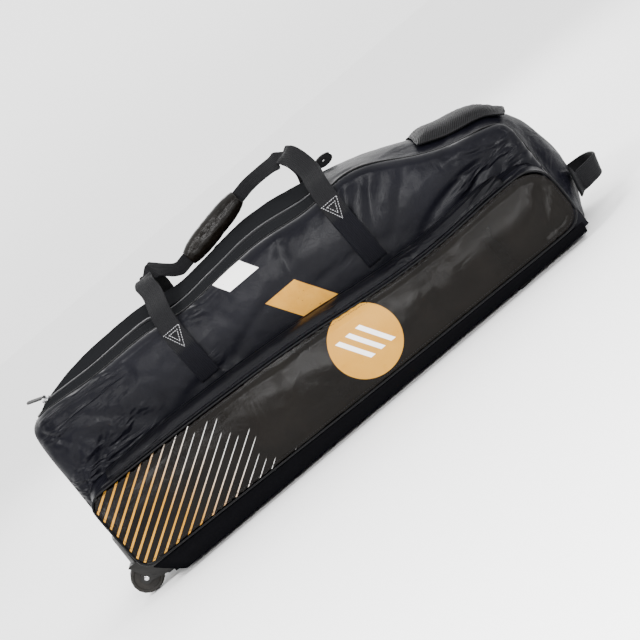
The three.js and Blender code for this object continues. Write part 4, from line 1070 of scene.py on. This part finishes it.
def lights():
    world = bpy.data.worlds.new("studio")
    bpy.context.scene.world = world
    world.use_nodes = True
    nodes, links = world.node_tree.nodes, world.node_tree.links
    background = nodes["Background"]
    background.inputs["Color"].default_value = (1, 1, 1, 1)
    split = nodes.new("ShaderNodeSeparateXYZ")
    links.new(nodes.new("ShaderNodeTexCoord").outputs["Generated"], split.inputs[0])
    upward = nodes.new("ShaderNodeMath")
    upward.operation = "MULTIPLY_ADD"
    links.new(split.outputs[1], upward.inputs[0])
    upward.inputs[1].default_value = WORLD["back"]
    links.new(split.outputs[2], upward.inputs[2])
    fall = nodes.new("ShaderNodeMapRange")
    fall.interpolation_type = "SMOOTHSTEP"
    links.new(upward.outputs[0], fall.inputs[0])
    for socket, value in zip(fall.inputs[1:], (WORLD["low"], WORLD["high"], WORLD["dark"], WORLD["bright"])):
        socket.default_value = value
    rim = nodes.new("ShaderNodeMapRange")
    rim.interpolation_type = "SMOOTHSTEP"
    links.new(split.outputs[2], rim.inputs[0])
    for socket, value in zip(rim.inputs[1:], (0.0, WORLD["rise"], WORLD["rim"], 1.0)):
        socket.default_value = value
    strength = nodes.new("ShaderNodeMath")
    strength.operation = "MULTIPLY"
    links.new(fall.outputs[0], strength.inputs[0])
    links.new(rim.outputs[0], strength.inputs[1])
    links.new(strength.outputs[0], background.inputs["Strength"])
    for row in LIGHTS:
        data = bpy.data.lights.new(row["name"], "AREA")
        data.size = row["size"]
        data.energy = row["power"]
        obj = bpy.data.objects.new(row["name"], data)
        bpy.context.scene.collection.objects.link(obj)
        at = Vector(row["at"])
        facing = (Vector(LIGHTS_AIM) - at).to_track_quat("-Z", "Y")
        obj.matrix_world = Matrix.Translation(at) @ facing.to_matrix().to_4x4()


def camera():
    data = bpy.data.cameras.new("camera")
    data.lens = CAMERA_LENS
    data.sensor_width = 36
    obj = bpy.data.objects.new("camera", data)
    bpy.context.scene.collection.objects.link(obj)
    forward = (Vector(CAMERA_TARGET) - Vector(CAMERA_AT)).normalized()
    right = forward.cross(Vector((0, 0, 1))).normalized()
    up = right.cross(forward)
    roll = math.radians(CAMERA_ROLL)
    turned_right = right * math.cos(roll) - up * math.sin(roll)
    turned_up = right * math.sin(roll) + up * math.cos(roll)
    turn = Matrix((turned_right, turned_up, -forward)).transposed().to_4x4()
    obj.matrix_world = Matrix.Translation(Vector(CAMERA_AT)) @ turn
    bpy.context.scene.camera = obj


camera()
lights()
stage()
walls()
top()
for run in ("piping_front", "piping_back", "pocket_piping"):
    piping(run)
pocket()
base()
end_pocket()
straps()
grip()
handle()
roll()
hard_parts()
